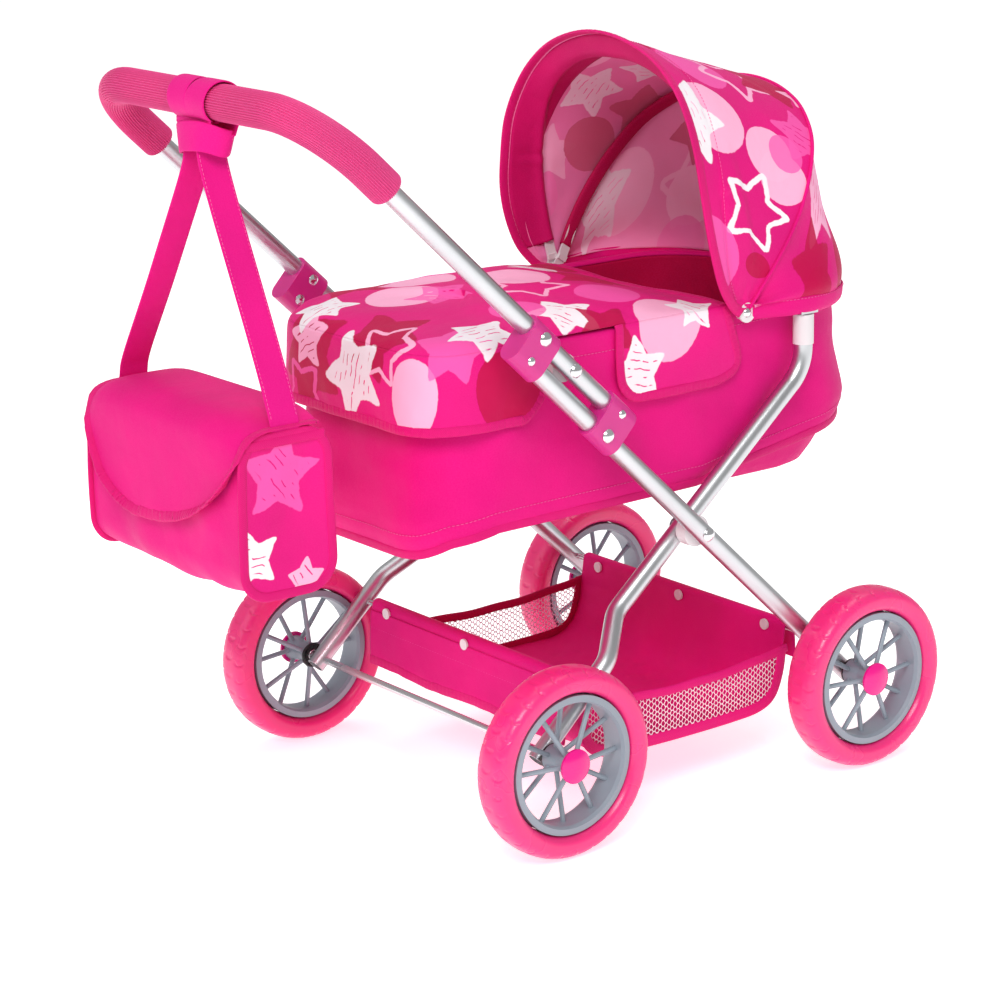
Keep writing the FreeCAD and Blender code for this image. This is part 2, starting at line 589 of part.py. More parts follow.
def make_bow(y_end, grow, rise):
    """Flat strip bent to the arch, with an eye at each end for the screw."""
    t, half = D["bow_thickness"], D["bow_width"] / 2
    strip = Part.Face(arch_wire(grow, 0.0, rise)).cut(Part.Face(arch_wire(grow - t, -1.0, rise)))
    strip = strip.extrude(Vector(2 * half, 0, 0))
    strip.translate(Vector(-half, 0, 0))
    strip = strip.cut(box(-20, 20, -150, 150, -10, 9))
    for side in (LEFT, RIGHT):
        eye = rod_y(6.5, 0, 0, side * y_end, side * (y_end + 1.5))
        eye = eye.fuse(box(-half, half, side * y_end, side * (y_end + 1.5), 0, 14))
        link = box(-half, half, side * min(y_end, 118.5 + grow), side * (121.5 + grow), 9, 14)
        eye = eye.fuse(link).cut(rod_y(2.05, 0, 0, side * 100, side * 140))
        strip = strip.fuse(eye)
    return strip.removeSplitter()


feature("front_bow", make_bow(120.6, 0.6, D["front_rise"] - 14.0), HINGE, Rotation(Vector(0, 1, 0), -D["front_lean"]))
feature("rear_bow", make_bow(117.6, -2.6, D["rear_rise"] - 3), HINGE, Rotation(Vector(0, 1, 0), D["rear_lean"]))

plates, screws = [], []
for name, side in SIDES:
    eyelet = rod_y(8.0, HINGE.x, HINGE.z, side * 122.9, side * 124.9).cut(
        rod_y(2.1, HINGE.x, HINGE.z, side * 110, side * 130))
    feature("hood_eyelet_" + name, eyelet)
    screw = rod_y(2.0, HINGE.x, HINGE.z, side * 115.0, side * 124.9)
    screw = screw.fuse(dome(4.0, 2.2, HINGE.x, HINGE.z, side * 124.9, side))
    screws.append(screw.removeSplitter())
feature("hood_screws", Part.makeCompound(screws))

# hood cloth: front panel from its edge to the rear bow, back panel to the rim
FOOT = 11.0
REAR = D["rear_lean"]


def standing(grow, degrees, rise, push=0.0, foot=FOOT):
    """A closed arch section standing on the hood's hem level."""
    wire = arch_wire(grow, foot, rise)
    wire.Placement = Placement(HINGE + Vector(push, 0, 0), Rotation(Vector(0, 1, 0), degrees))
    return wire


def hem(grow, foot=FOOT):
    """A lying section with the arch's seven edges: round the head end of the rim."""
    y, z = 119.5 + grow, HINGE.z + foot + 0.5
    x0, x1 = HINGE.x + 12, 214.0 + grow
    p = [Vector(x0, y, z), Vector(x0 + 60, y + 6, z), Vector(x1 - 26, y - 12, z),
         Vector(x1 - 8, y - 38, z), Vector(x1 - 2, y - 72, z), Vector(x1, 0, z)]
    m = [Vector(q.x, -q.y, q.z) for q in p]
    return Part.Wire([Part.LineSegment(p[0], p[1]).toShape(), Part.Arc(p[1], p[2], p[3]).toShape(),
                      Part.Arc(p[3], p[4], p[5]).toShape(), Part.Arc(p[5], m[4], m[3]).toShape(),
                      Part.Arc(m[3], m[2], m[1]).toShape(), Part.LineSegment(m[1], m[0]).toShape(),
                      Part.LineSegment(m[0], p[0]).toShape()])


TALL, LOW = D["front_rise"], D["rear_rise"]
front_panel = Part.makeLoft([standing(4.2, -D["front_lean"] - 4, TALL, -2.0),
                             standing(4.2, REAR, LOW)], True, True)
front_room = Part.makeLoft([standing(2.2, -D["front_lean"] - 6, TALL, -4.0, FOOT - 4),
                            standing(2.2, REAR + 1.0, LOW, 0.0, FOOT - 4)], True, True)
front_panel = front_panel.cut(front_room)
feature("hood_front_panel", max(front_panel.Solids, key=lambda s: s.Volume))
back_panel = Part.makeLoft([standing(4.2, REAR + 0.6, LOW), hem(4.2)], True, True)
back_room = Part.makeLoft([standing(2.2, REAR - 0.5, LOW, 0.0, FOOT - 4), hem(2.2, FOOT - 4)], True, True)
back_panel = back_panel.cut(back_room)
feature("hood_back_panel", max(back_panel.Solids, key=lambda s: s.Volume))

# --------------------------------------------------------------- basket
def strip_along_y(points, thick, half):
    """A panel of one thickness that follows a line in the XZ plane."""
    parts = []
    for a, b in zip(points, points[1:]):
        a3, b3 = Vector(a[0], -half, a[1]), Vector(b[0], -half, b[1])
        way = (b3 - a3).normalize()
        off = Vector(-way.z, 0, way.x) * (thick / 2)
        face = Part.Face(Part.makePolygon([a3 + off, b3 + off, b3 - off, a3 - off, a3 + off]))
        parts.append(face.extrude(Vector(0, 2 * half, 0)))
    for a in points[1:-1]:
        parts.append(rod_y(thick / 2, a[0], a[1], -half, half))
    out = parts[0]
    for p in parts[1:]:
        out = out.fuse(p)
    return out.removeSplitter()


bz, bw = D["basket_floor_z"], D["basket_half_width"]
profile = [(FRONT_ROD.x - 1.0, FRONT_ROD.z - 5), (FRONT_ROD.x - 9, 80.0), (FRONT_ROD.x - 22, bz + 3),
           (FRONT_ROD.x - 34, bz), (REAR_ROD.x + 30, bz), (REAR_ROD.x + 16, bz + 4),
           (REAR_ROD.x + 6, 80.0), (REAR_ROD.x + 1.0, REAR_ROD.z - 5)]
sling = strip_along_y(profile, 2.0, bw)
for rod in (FRONT_ROD, REAR_ROD):
    sleeve = rod_y(6.0, rod.x, rod.z, -bw, bw)
    sling = sling.fuse(sleeve)
for rod in (FRONT_ROD, REAR_ROD):
    sling = sling.cut(rod_y(D["rod_dia"] / 2 + 0.6, rod.x, rod.z, -bw - 1, bw + 1))
feature("basket_sling", sling.removeSplitter())
side_outline = [(FRONT_ROD.x - 4.0, 98.0), (FRONT_ROD.x - 9, 80.0), (FRONT_ROD.x - 22, bz + 3),
                (FRONT_ROD.x - 34, bz), (REAR_ROD.x + 30, bz), (REAR_ROD.x + 16, bz + 4),
                (REAR_ROD.x + 6, 80.0), (REAR_ROD.x + 4.0, 98.0), (0.0, 92.0)]
for name, side in SIDES:
    pts = [Vector(x, 0, z) for x, z in side_outline]
    face = Part.Face(Part.makePolygon(pts + pts[:1]))
    panel = face.extrude(Vector(0, 1.6, 0))
    feature("basket_side_" + name, panel, Vector(0, side * (bw + 0.9) - 0.8, 0))

snaps = []
for y in (-108.0, 0.0, 108.0):
    for rod, facing in ((FRONT_ROD, -1), (REAR_ROD, -1)):
        x = rod.x - 6.2
        disc = Part.makeCylinder(D["snap_dia"] / 2, 1.8, Vector(x, y, rod.z - 1.0), Vector(facing, 0, 0))
        snaps.append(disc)
feature("basket_snaps", Part.makeCompound(snaps))

# ------------------------------------------------------------------ bag
BAR = on_push(D["handle_top"], over)
bx0, bx1 = BAR.x - D["bag_depth"] / 2, BAR.x + D["bag_depth"] / 2
by0, by1 = D["bag_side"] - D["bag_width"] / 2, D["bag_side"] + D["bag_width"] / 2
bag = box(bx0, bx1, by0, by1, D["bag_bottom_z"], D["bag_top_z"])
bag = bag.makeFillet(16.0, [e for e in bag.Edges if abs(e.tangentAt(e.FirstParameter).y) > 0.9])
room = box(bx0 + 2, bx1 - 2, by0 + 2, by1 - 2, D["bag_bottom_z"] + 2, D["bag_top_z"] - 2)
room = room.makeFillet(14.0, [e for e in room.Edges if abs(e.tangentAt(e.FirstParameter).y) > 0.9])
mouth = box(bx0 - 5, bx0 + 6, by0 + 14, by1 - 14, D["bag_top_z"] - 52, D["bag_top_z"] - 18)
feature("bag_pouch", bag.cut(room).cut(mouth))
flap = box(bx0 - 3.0, bx0 - 0.6, by0 + 4, by1 - 4, 254.0, D["bag_top_z"] - 16)
low_edges = [e for e in flap.Edges if abs(e.tangentAt(e.FirstParameter).x) > 0.9
             and e.CenterOfMass.z < 260]
feature("bag_flap", flap.makeFillet(40.0, low_edges))

strap_half = D["strap_width"] / 2
for name, side in SIDES:
    mid = D["bag_side"]
    foot_y = mid + side * (D["bag_width"] / 2)
    low = [Vector(0, foot_y, 300.0), Vector(0, foot_y + side * 1.6, 300.0)]
    bend = [Vector(0, foot_y + side * 1.6, 368.0), Vector(0, foot_y, 368.0)]
    top = [Vector(0, side * 15.0 + side * 1.6, 548.0), Vector(0, side * 15.0, 548.0)]
    pts = [low[0], low[1], bend[0], top[0], top[1], bend[1]]
    face = Part.Face(Part.makePolygon(pts + pts[:1]))
    strap = face.extrude(Vector(D["strap_width"], 0, 0))
    feature("bag_strap_" + name, strap, Vector(BAR.x - strap_half, 0, 0))
loops = []
for y in (24.0, -22.0):
    band = rod_y(D["grip_dia"] / 2 + 2.6, BAR.x, BAR.z, y - 12.5, y + 12.5)
    band = band.cut(rod_y(D["grip_dia"] / 2 + 0.6, BAR.x, BAR.z, y - 13, y + 13))
    loops.append(band)
wrap = loops[0].fuse(loops[1])
knot = box(BAR.x - 10, BAR.x + 10, -34.5, 36.5, 549.0, BAR.z - 8).cut(
    rod_y(D["grip_dia"] / 2 + 0.6, BAR.x, BAR.z, -60, 60))
feature("bag_strap_wrap", wrap.fuse(knot).removeSplitter())

# --------------------------------------------------------------- output
doc.recompute()
for obj in doc.Objects:
    if "Invalid" in obj.State or "Error" in obj.State:
        raise RuntimeError("%s: %s" % (obj.Label, obj.State))
for obj in PARTS:
    if obj.Shape.isNull() or not obj.Shape.isValid():
        raise RuntimeError("bad shape: " + obj.Label)
    if not obj.Shape.Solids:
        raise RuntimeError("no solid: " + obj.Label)

os.makedirs("parts", exist_ok=True)
total = FreeCAD.BoundBox()
for obj in PARTS:
    total.add(obj.Shape.BoundBox)
    obj.Shape.exportStep(os.path.join("parts", obj.Label + ".step"))
    print("%-24s solids %d  volume %.0f" % (obj.Label, len(obj.Shape.Solids), obj.Shape.Volume))
print("box", [round(v, 2) for v in (total.XMin, total.XMax, total.YMin, total.YMax, total.ZMin, total.ZMax)])
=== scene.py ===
"""Doll pram: cloth, foam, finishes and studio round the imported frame.

Lengths in the shape functions are millimetres from a point on the floor
midway between the axles; X runs towards the hood, Y to the pram's left, Z up.
"""
import json
import bmesh
import bpy
import numpy as np
from mathutils import Matrix, Vector

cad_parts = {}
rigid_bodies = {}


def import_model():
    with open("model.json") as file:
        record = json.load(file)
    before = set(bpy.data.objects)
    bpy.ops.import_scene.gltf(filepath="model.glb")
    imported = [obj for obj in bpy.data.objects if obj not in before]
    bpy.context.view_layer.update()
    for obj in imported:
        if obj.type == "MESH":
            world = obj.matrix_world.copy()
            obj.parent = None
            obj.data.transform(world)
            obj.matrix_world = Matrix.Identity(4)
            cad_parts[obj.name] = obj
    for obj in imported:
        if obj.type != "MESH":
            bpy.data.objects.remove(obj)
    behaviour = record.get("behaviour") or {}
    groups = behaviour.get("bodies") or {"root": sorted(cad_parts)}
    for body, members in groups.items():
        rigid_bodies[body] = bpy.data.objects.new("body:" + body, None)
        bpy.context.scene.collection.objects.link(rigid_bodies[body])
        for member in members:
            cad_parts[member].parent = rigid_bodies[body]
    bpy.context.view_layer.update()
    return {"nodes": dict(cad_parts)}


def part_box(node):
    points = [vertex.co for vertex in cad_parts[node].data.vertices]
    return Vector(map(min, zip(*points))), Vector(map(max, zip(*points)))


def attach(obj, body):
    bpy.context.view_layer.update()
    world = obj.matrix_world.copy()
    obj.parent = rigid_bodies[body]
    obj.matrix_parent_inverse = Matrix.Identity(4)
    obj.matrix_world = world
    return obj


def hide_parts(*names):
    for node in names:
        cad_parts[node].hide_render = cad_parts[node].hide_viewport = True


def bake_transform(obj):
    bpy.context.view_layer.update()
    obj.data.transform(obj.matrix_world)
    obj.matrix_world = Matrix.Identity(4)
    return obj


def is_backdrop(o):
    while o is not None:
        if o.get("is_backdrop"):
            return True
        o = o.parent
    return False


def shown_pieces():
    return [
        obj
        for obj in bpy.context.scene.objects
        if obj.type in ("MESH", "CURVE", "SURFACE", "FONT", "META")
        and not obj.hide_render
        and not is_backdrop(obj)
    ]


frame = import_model()


def middle(node, axis):
    low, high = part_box(node)
    return (low[axis] + high[axis]) / 2


WHEELS_MID = (middle("front_axle", 0) + middle("rear_axle", 0)) / 2
AXLE_Z = middle("front_axle", 2) * 1000
HALF_BASE = (middle("front_axle", 0) - middle("rear_axle", 0)) * 500
NEAR, FAR = -1, 1
TURN = 2 * np.pi
UP, LEFT = np.array([0, 0, 1.0]), np.array([0, 1.0, 0])
ON_FLOOR = np.array([1, 1, 0])     # times a point: the point below it on the floor


# ------------------------------------------------------------ shape tools
def unit(v):
    """Vectors divided by their lengths."""
    return v / np.linalg.norm(v, axis=-1, keepdims=True).clip(1e-9)


def ease(t):
    """0 below 0, 1 above 1, and 3t^2 - 2t^3 between."""
    t = np.clip(t, 0, 1)
    return t * t * (3 - 2 * t)


def run_of(path):
    """Running length along a path, from 0 at its start."""
    return np.r_[0, np.linalg.norm(np.diff(path, axis=0), axis=1).cumsum()]


def even(path, n):
    """The path's points moved so that n of them are evenly spaced by length."""
    path = np.asarray(path, float)
    run = run_of(path)
    at = np.linspace(0, run[-1], n)
    return np.stack([np.interp(at, run, path[:, k]) for k in range(path.shape[1])], 1)


def curve(points, n, closed=False):
    """Catmull-Rom cubic through given points, as n evenly spaced points."""
    p = np.asarray(points, float)
    if closed:
        p = np.vstack([p[-1], p, p[0], p[1]])
    else:
        p = np.vstack([2 * p[0] - p[1], p, 2 * p[-1] - p[-2]])
    spans = len(p) - 3
    t = np.linspace(0, spans, 30 * spans + 1)
    k = np.minimum(t.astype(int), spans - 1)
    f = (t - k)[:, None]
    a, b, c, d = p[k], p[k + 1], p[k + 2], p[k + 3]
    q = 0.5 * (2 * b + (c - a) * f + (2 * a - 5 * b + 4 * c - d) * f ** 2
               + (3 * b - a - 3 * c + d) * f ** 3)
    return even(q, n)


def ripple(p, size, seed, amount):
    """Unevenness of cloth: the mean of nine slow waves in space, of lengths near
    size and directions drawn from a seeded generator, times amount."""
    rng = np.random.default_rng(seed)
    way = unit(rng.normal(size=(9, 3))) * TURN / (size * rng.uniform(0.6, 1.9, (9, 1)))
    return amount * 2 * np.sin(p @ way.T + rng.uniform(0, TURN, 9)).mean(-1)


def normals(p):
    """Unit cross product of a grid's two directions."""
    return unit(np.cross(np.gradient(p, axis=0), np.gradient(p, axis=1)))


def area(p):
    """Sum of half the cross products of each cell's diagonals, in square metres."""
    a, b = p[1:, 1:] - p[:-1, :-1], p[1:, :-1] - p[:-1, 1:]
    return np.linalg.norm(np.cross(a, b), axis=-1).sum() / 2e6


def across_of(path, side, closed=False):
    """Tangent, side direction made square to it, and their cross product."""
    side = np.broadcast_to(side, path.shape)
    if closed:
        t = unit(np.roll(path, -1, 0) - np.roll(path, 1, 0))
    else:
        t = unit(np.gradient(path, axis=0))
    a = unit(side - (side * t).sum(-1, keepdims=True) * t)
    return t, a, np.cross(t, a)


def carried(path, side, profile, closed=False):
    """Grid of a profile (a, b) carried along a path: a towards side, b along
    tangent x side.  The profile may change along the path."""
    _, a, n = across_of(path, side, closed)
    profile = np.broadcast_to(profile, (len(path),) + profile.shape[-2:])
    return path[:, None] + profile[..., :1] * a[:, None] + profile[..., 1:] * n[:, None]


def ring(radius, n):
    """Points of a circle; radius may be one value for each."""
    t = np.arange(n) * TURN / n
    return np.stack([radius * np.cos(t), radius * np.sin(t)], 1)


def lens(width, thick, n=14, power=2.6):
    """Closed outline of a folded strip: superellipse width by thick."""
    t = np.arange(n) * TURN / n
    c, s = np.cos(t), np.sin(t)
    return np.stack([width / 2 * np.sign(c) * abs(c) ** (2 / power),
                     thick / 2 * np.sign(s) * abs(s) ** (2 / power)], 1)


def capped(p):
    """The grid with a point row at each end, so that its ends close."""
    ends = [np.broadcast_to(p[k].mean(0), p[k].shape)[None] for k in (0, -1)]
    return np.concatenate([ends[0], p, ends[1]])


def build(name, verts, faces, uv=None, smooth=True, weld=False, outward=False):
    """Mesh object from arrays; verts in millimetres, faces all of one length."""
    mesh = bpy.data.meshes.new(name)
    verts = np.asarray(verts, float).reshape(-1, 3) / 1000 + [WHEELS_MID, 0, 0]
    faces = np.asarray(faces, np.int64)
    size = faces.shape[1]
    mesh.vertices.add(len(verts))
    mesh.vertices.foreach_set("co", verts.ravel().astype(np.float32))
    mesh.loops.add(faces.size)
    mesh.loops.foreach_set("vertex_index", faces.ravel().astype(np.int32))
    mesh.polygons.add(len(faces))
    mesh.polygons.foreach_set("loop_start", (np.arange(len(faces)) * size).astype(np.int32))
    mesh.polygons.foreach_set("use_smooth", np.full(len(faces), smooth))
    if uv is not None:
        layer = mesh.uv_layers.new(name="cloth")
        layer.data.foreach_set("uv", np.asarray(uv, np.float32).ravel())
    mesh.update(calc_edges=True)
    mesh.validate()
    if weld or outward:
        bm = bmesh.new()
        bm.from_mesh(mesh)
        if weld:
            bmesh.ops.remove_doubles(bm, verts=bm.verts, dist=2e-6)
        if outward:
            bmesh.ops.recalc_face_normals(bm, faces=bm.faces)
        bm.to_mesh(mesh)
        bm.free()
    obj = bpy.data.objects.new(name, mesh)
    bpy.context.scene.collection.objects.link(obj)
    return obj


def cells(ni, nj, wrap_i=False, wrap_j=False):
    """Corner rows and columns of a grid's cells, before wrapping."""
    i, j = np.meshgrid(np.arange(ni - (not wrap_i)), np.arange(nj - (not wrap_j)), indexing="ij")
    return (np.stack([i, i + 1, i + 1, i], -1).reshape(-1, 4),
            np.stack([j, j, j + 1, j + 1], -1).reshape(-1, 4))


def surface(name, p, wrap_i=False, wrap_j=False, uv=None, weld=False, outward=False, flip=False):
    """Smooth surface through a grid of points.  Its UV map is in metres: running
    length down the rows and along the columns, unless one is given."""
    ni, nj = p.shape[:2]
    ci, cj = cells(ni, nj, wrap_i, wrap_j)
    if uv is None:
        q = np.concatenate([p, p[:1]]) if wrap_i else p
        q = np.concatenate([q, q[:, :1]], 1) if wrap_j else q
        du = np.linalg.norm(np.diff(q, axis=0), axis=-1).mean(1)
        dv = np.linalg.norm(np.diff(q, axis=1), axis=-1).mean(0)
        u, v = np.r_[0, du.cumsum()] / 1000, np.r_[0, dv.cumsum()] / 1000
        uv = np.stack(np.meshgrid(u, v, indexing="ij"), -1)
    corners = uv[ci, cj]
    faces = (ci % ni) * nj + cj % nj
    if flip:
        faces, corners = faces[:, ::-1], corners[:, ::-1]
    return build(name, p, faces, corners, weld=weld, outward=outward)


def scattered(name, shape, faces, places):
    """Copies of a small shape: places holds, for each copy, its origin and the
    three directions (n, 4, 3) that its coordinates run along."""
    verts = places[:, None, 0] + np.einsum("vk,nkc->nvc", shape, places[:, 1:])
    step = np.arange(len(places))[:, None, None] * len(shape)
    return build(name, verts, (faces[None] + step).reshape(-1, faces.shape[1]))


def thicken(obj, thick, side=0.0, inner=0):
    """Solidify: thick in mm; side -1 grows inwards, 0 both ways."""
    mod = obj.modifiers.new("thickness", "SOLIDIFY")
    mod.thickness, mod.offset = thick / 1000, side
    mod.use_rim, mod.use_even_offset = True, False
    mod.material_offset = inner
    return obj


def finish(obj, body, slot, *materials):
    """Material slots and body of a piece; the slot argument is not used."""
    obj.data.materials.clear()
    for m in materials:
        obj.data.materials.append(m)
    if body:
        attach(obj, body)
    return obj


def panel(name, p, thick, body, slot, materials, node=None, side=0.0, **how):
    """Cloth surface with thickness; with two materials the second is inside."""
    obj = thicken(surface(name, p, **how), thick, side, len(materials) - 1)
    if node:
        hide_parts(node)
    return finish(obj, body, slot, *materials)


def strand(name, path, side, profile, body, slot, material, closed=False):
    """Closed profile carried along a path, with closed ends."""
    p = carried(np.asarray(path, float), np.asarray(side, float), profile, closed)
    p = p if closed else capped(p)
    obj = surface(name, p, wrap_i=closed, wrap_j=True, weld=not closed, outward=True)
    return finish(obj, body, slot, material)


def binding(name, path, out, inward, body, slot, material, width=8.0, thick=2.6, closed=False):
    """Woven tape folded over a cloth edge: a flat rounded section whose middle is
    set in from the edge, puckered a little along its length."""
    n = 3 * len(path) // 2
    path, out = even(path, n), even(np.broadcast_to(out, path.shape), n)
    t, _, _ = across_of(path, out, closed)
    side = np.cross(unit(out), t) * inward
    run = run_of(path)
    pucker = 1 + 0.07 * np.sin(run * TURN / 5.3) + 0.05 * np.sin(run * TURN / 3.1)
    profile = lens(width, thick)[None] * np.stack([np.ones_like(pucker), pucker], 1)[:, None]
    return strand(name, path + side * (width / 2 - 1.6), side, profile, body, slot, material,
                  closed)


SPINDLE = np.array([[x, r * np.cos(a), r * np.sin(a)] for x, r in
                    ((-0.5, 0.35), (-0.25, 0.9), (0.25, 0.9), (0.5, 0.35)) for a in
                    (0, TURN / 4, TURN / 2, TURN * 3 / 4)])
SPINDLE_FACES = np.array([[4 * r + k, 4 * r + 4 + k, 4 * r + 4 + (k + 1) % 4, 4 * r + (k + 1) % 4]
                          for r in range(3) for k in range(4)] + [[3, 2, 1, 0], [12, 13, 14, 15]])


def stitches(name, path, out, body, slot="cot_cloth", pitch=3.4, thread=0.34):
    """Row of thread stitches lying on a cloth along a path."""
    run = np.linalg.norm(np.diff(path, axis=0), axis=1).sum()
    n = max(int(run / pitch), 4)
    p, o = even(path, n), even(np.broadcast_to(out, path.shape), n)
    t, a, b = across_of(p, unit(o))
    places = np.stack([p + unit(o) * thread * 0.5, t * pitch * 0.72, a * thread, b * thread], 1)
    obj = scattered(name, SPINDLE, SPINDLE_FACES, places)
    return finish(obj, body, slot, THREAD)


def cloth(obj, p):
    """Works out a sheet's flat size, its running length both ways, and its share of that; returns
    the piece unchanged.
    """
    wide = np.linalg.norm(np.diff(p, axis=0), axis=-1).sum(0).max() / 1000
    long = np.linalg.norm(np.diff(p, axis=1), axis=-1).sum(1).max() / 1000
    share = area(p) / (wide * long)
    return obj


# ---------------------------------------------------------------- finishes
class Finish:
    """A material and short calls for its nodes."""

    def __init__(self, name):
        self.mat = bpy.data.materials.new(name)
        self.mat.use_nodes = True
        self.tree = self.mat.node_tree
        self.shader = self.tree.nodes["Principled BSDF"]

    def node(self, kind, inputs=(), out=0, **settings):
        n = self.tree.nodes.new(kind)
        for k, v in settings.items():
            setattr(n, k, v)
        for key, v in (inputs.items() if isinstance(inputs, dict) else enumerate(inputs)):
            if v is None:
                continue
            if isinstance(v, bpy.types.NodeSocket):
                self.tree.links.new(v, n.inputs[key])
            else:
                n.inputs[key].default_value = v
        return n.outputs[out]

    def sum(self, op, *values):
        return self.node("ShaderNodeMath", values, operation=op)

    def vec(self, op, *values, out=0):
        return self.node("ShaderNodeVectorMath", values, out, operation=op)

    def mix(self, fac, a, b):
        a, b = [v if isinstance(v, bpy.types.NodeSocket) else (*v, 1.0) for v in (a, b)]
        return self.node("ShaderNodeMix", {0: fac, 6: a, 7: b}, 2, data_type="RGBA")

    def noise(self, where, scale, detail=2.0, rough=0.5, out=0):
        return self.node("ShaderNodeTexNoise", {"Vector": where, "Scale": scale, "Detail": detail,
                                                "Roughness": rough}, out)

    def ramp(self, value, low, high, to_low=0.0, to_high=1.0):
        return self.node("ShaderNodeMapRange", (value, low, high, to_low, to_high))

    def parts(self, where):
        """The three numbers of a vector."""
        xyz = self.tree.nodes.new("ShaderNodeSeparateXYZ")
        self.tree.links.new(where, xyz.inputs[0])
        return xyz.outputs

    def objects(self):
        return self.node("ShaderNodeTexCoord", out=3)

    def uv(self):
        return self.node("ShaderNodeTexCoord", out=2)

    def bump(self, height, distance, strength=1.0, under=None):
        return self.node("ShaderNodeBump", {"Strength": strength, "Distance": distance,
                                            "Height": height, "Normal": under})

    def set(self, **values):
        for k, v in values.items():
            socket = self.shader.inputs[k.replace("_", " ")]
            if isinstance(v, bpy.types.NodeSocket):
                self.tree.links.new(v, socket)
            else:
                socket.default_value = (*v, 1.0) if isinstance(v, tuple) and len(v) == 3 else v
        return self.mat


MAGENTA = (0.80, 0.003, 0.205)
BAND = (0.74, 0.002, 0.165)
CRIMSON = (0.50, 0.001, 0.060)
MID_PINK = (0.92, 0.11, 0.43)
PALE_PINK = (0.96, 0.46, 0.66)
WHITE = (0.90, 0.87, 0.90)


def star_group():
    """Distance to a five-pointed star, in its own radii, below 0 inside.  The
    angle is folded to a tenth of a turn about a tip; the edge is then the straight
    line from tip to notch, blended with a circle that rounds the tips."""
    g = bpy.data.node_groups.new("star", "ShaderNodeTree")
    for name, kind in (("Place", "NodeSocketVector"), ("Centre", "NodeSocketVector"),
                       ("Size", "NodeSocketFloat"), ("Turn", "NodeSocketFloat")):
        g.interface.new_socket(name, in_out="INPUT", socket_type=kind)
    g.interface.new_socket("Distance", in_out="OUTPUT", socket_type="NodeSocketFloat")
    f = Finish.__new__(Finish)
    f.tree = g
    inp = g.nodes.new("NodeGroupInput").outputs
    rel = f.vec("SUBTRACT", inp[0], inp[1])
    wob = f.vec("SUBTRACT", f.noise(inp[0], 42.0, 1.0, out=1), (0.5, 0.5, 0.5))
    wob = f.node("ShaderNodeVectorMath", {0: wob, 3: 0.007}, operation="SCALE")
    rel = f.vec("ADD", rel, wob)
    x, y = f.parts(rel)[:2]
    angle = f.sum("ADD", f.sum("ARCTAN2", x, y), inp[3])
    fold = f.sum("PINGPONG", angle, float(np.pi / 5))
    square = f.sum("ADD", f.sum("MULTIPLY", x, x), f.sum("MULTIPLY", y, y))
    r = f.sum("DIVIDE", f.sum("SQRT", square), inp[2])
    line = f.sum("ADD", *[f.sum("MULTIPLY", f.sum("MULTIPLY", r, f.sum(op, fold)), k)
                          for op, k in (("COSINE", 0.47), ("SINE", 0.883))])
    d = f.sum("SMOOTH_MAX", f.sum("SUBTRACT", line, 0.47), f.sum("SUBTRACT", r, 0.94), 0.12)
    out = g.nodes.new("NodeGroupOutput")
    g.links.new(d, out.inputs[0])
    return g


STAR = star_group()
WEAVE_PITCH, WEAVE_DEPTH, CREASE_DEPTH = 0.00115, 0.00012, 0.006
NAP = dict(Sheen_Roughness=0.4, Sheen_Tint=(1.0, 0.4, 0.7), Specular_IOR_Level=0.30,
           Specular_Tint=(1.0, 0.5, 0.8))


def weave(f, where):
    """Bump of an over-and-under weave: product of two sines across the UV map,
    plus uneven threads."""
    u, v = [f.sum("SINE", f.sum("MULTIPLY", c, TURN / WEAVE_PITCH)) for c in f.parts(where)[:2]]
    threads = f.sum("MULTIPLY", u, v)
    grain = f.noise(where, 900.0, 2.0, 0.6)
    height = f.sum("ADD", f.sum("MULTIPLY", threads, 0.5), f.sum("MULTIPLY", grain, 0.8))
    crease = f.noise(f.objects(), 26.0, 3.0, 0.5)
    return grain, f.bump(height, WEAVE_DEPTH, 0.55, f.bump(crease, CREASE_DEPTH, 0.30))


def tinted(f, colour, grain):
    """Colour with slow unevenness and a little thread contrast."""
    slow = f.ramp(f.noise(f.objects(), 9.0, 3.0), 0.3, 0.7)
    base = f.mix(slow, tuple(c * 0.80 for c in colour), colour)
    return f.mix(f.ramp(grain, 0.35, 0.75, 0.0, 0.10), base, (0.95, 0.10, 0.42))


def plain_cloth(name, colour, rough=0.62):
    """Dyed cloth, woven, with a faint nap."""
    f = Finish(name)
    grain, normal = weave(f, f.uv())
    return f.set(Base_Color=tinted(f, colour, grain), Roughness=rough, Normal=normal,
                 Sheen_Weight=0.10, Sheen_Roughness=0.4, Sheen_Tint=(1.0, 0.35, 0.65),
                 Specular_IOR_Level=0.24, Specular_Tint=(1.0, 0.35, 0.70))


def scribble(f, where, lean):
    """Thin uneven strokes: a sine of a slanted running length, broken by noise."""
    way = f.vec("DOT_PRODUCT", where, (float(np.sin(lean)), float(np.cos(lean)), 0.0), out=1)
    shake = f.sum("MULTIPLY", f.noise(where, 60.0, 2.0), 0.0075)
    wave = f.sum("SINE", f.sum("MULTIPLY", f.sum("ADD", way, shake), TURN / 0.0062))
    some = f.ramp(f.noise(where, 95.0, 1.0), 0.47, 0.50)
    return f.sum("MULTIPLY", f.ramp(wave, 0.86, 0.90), some)


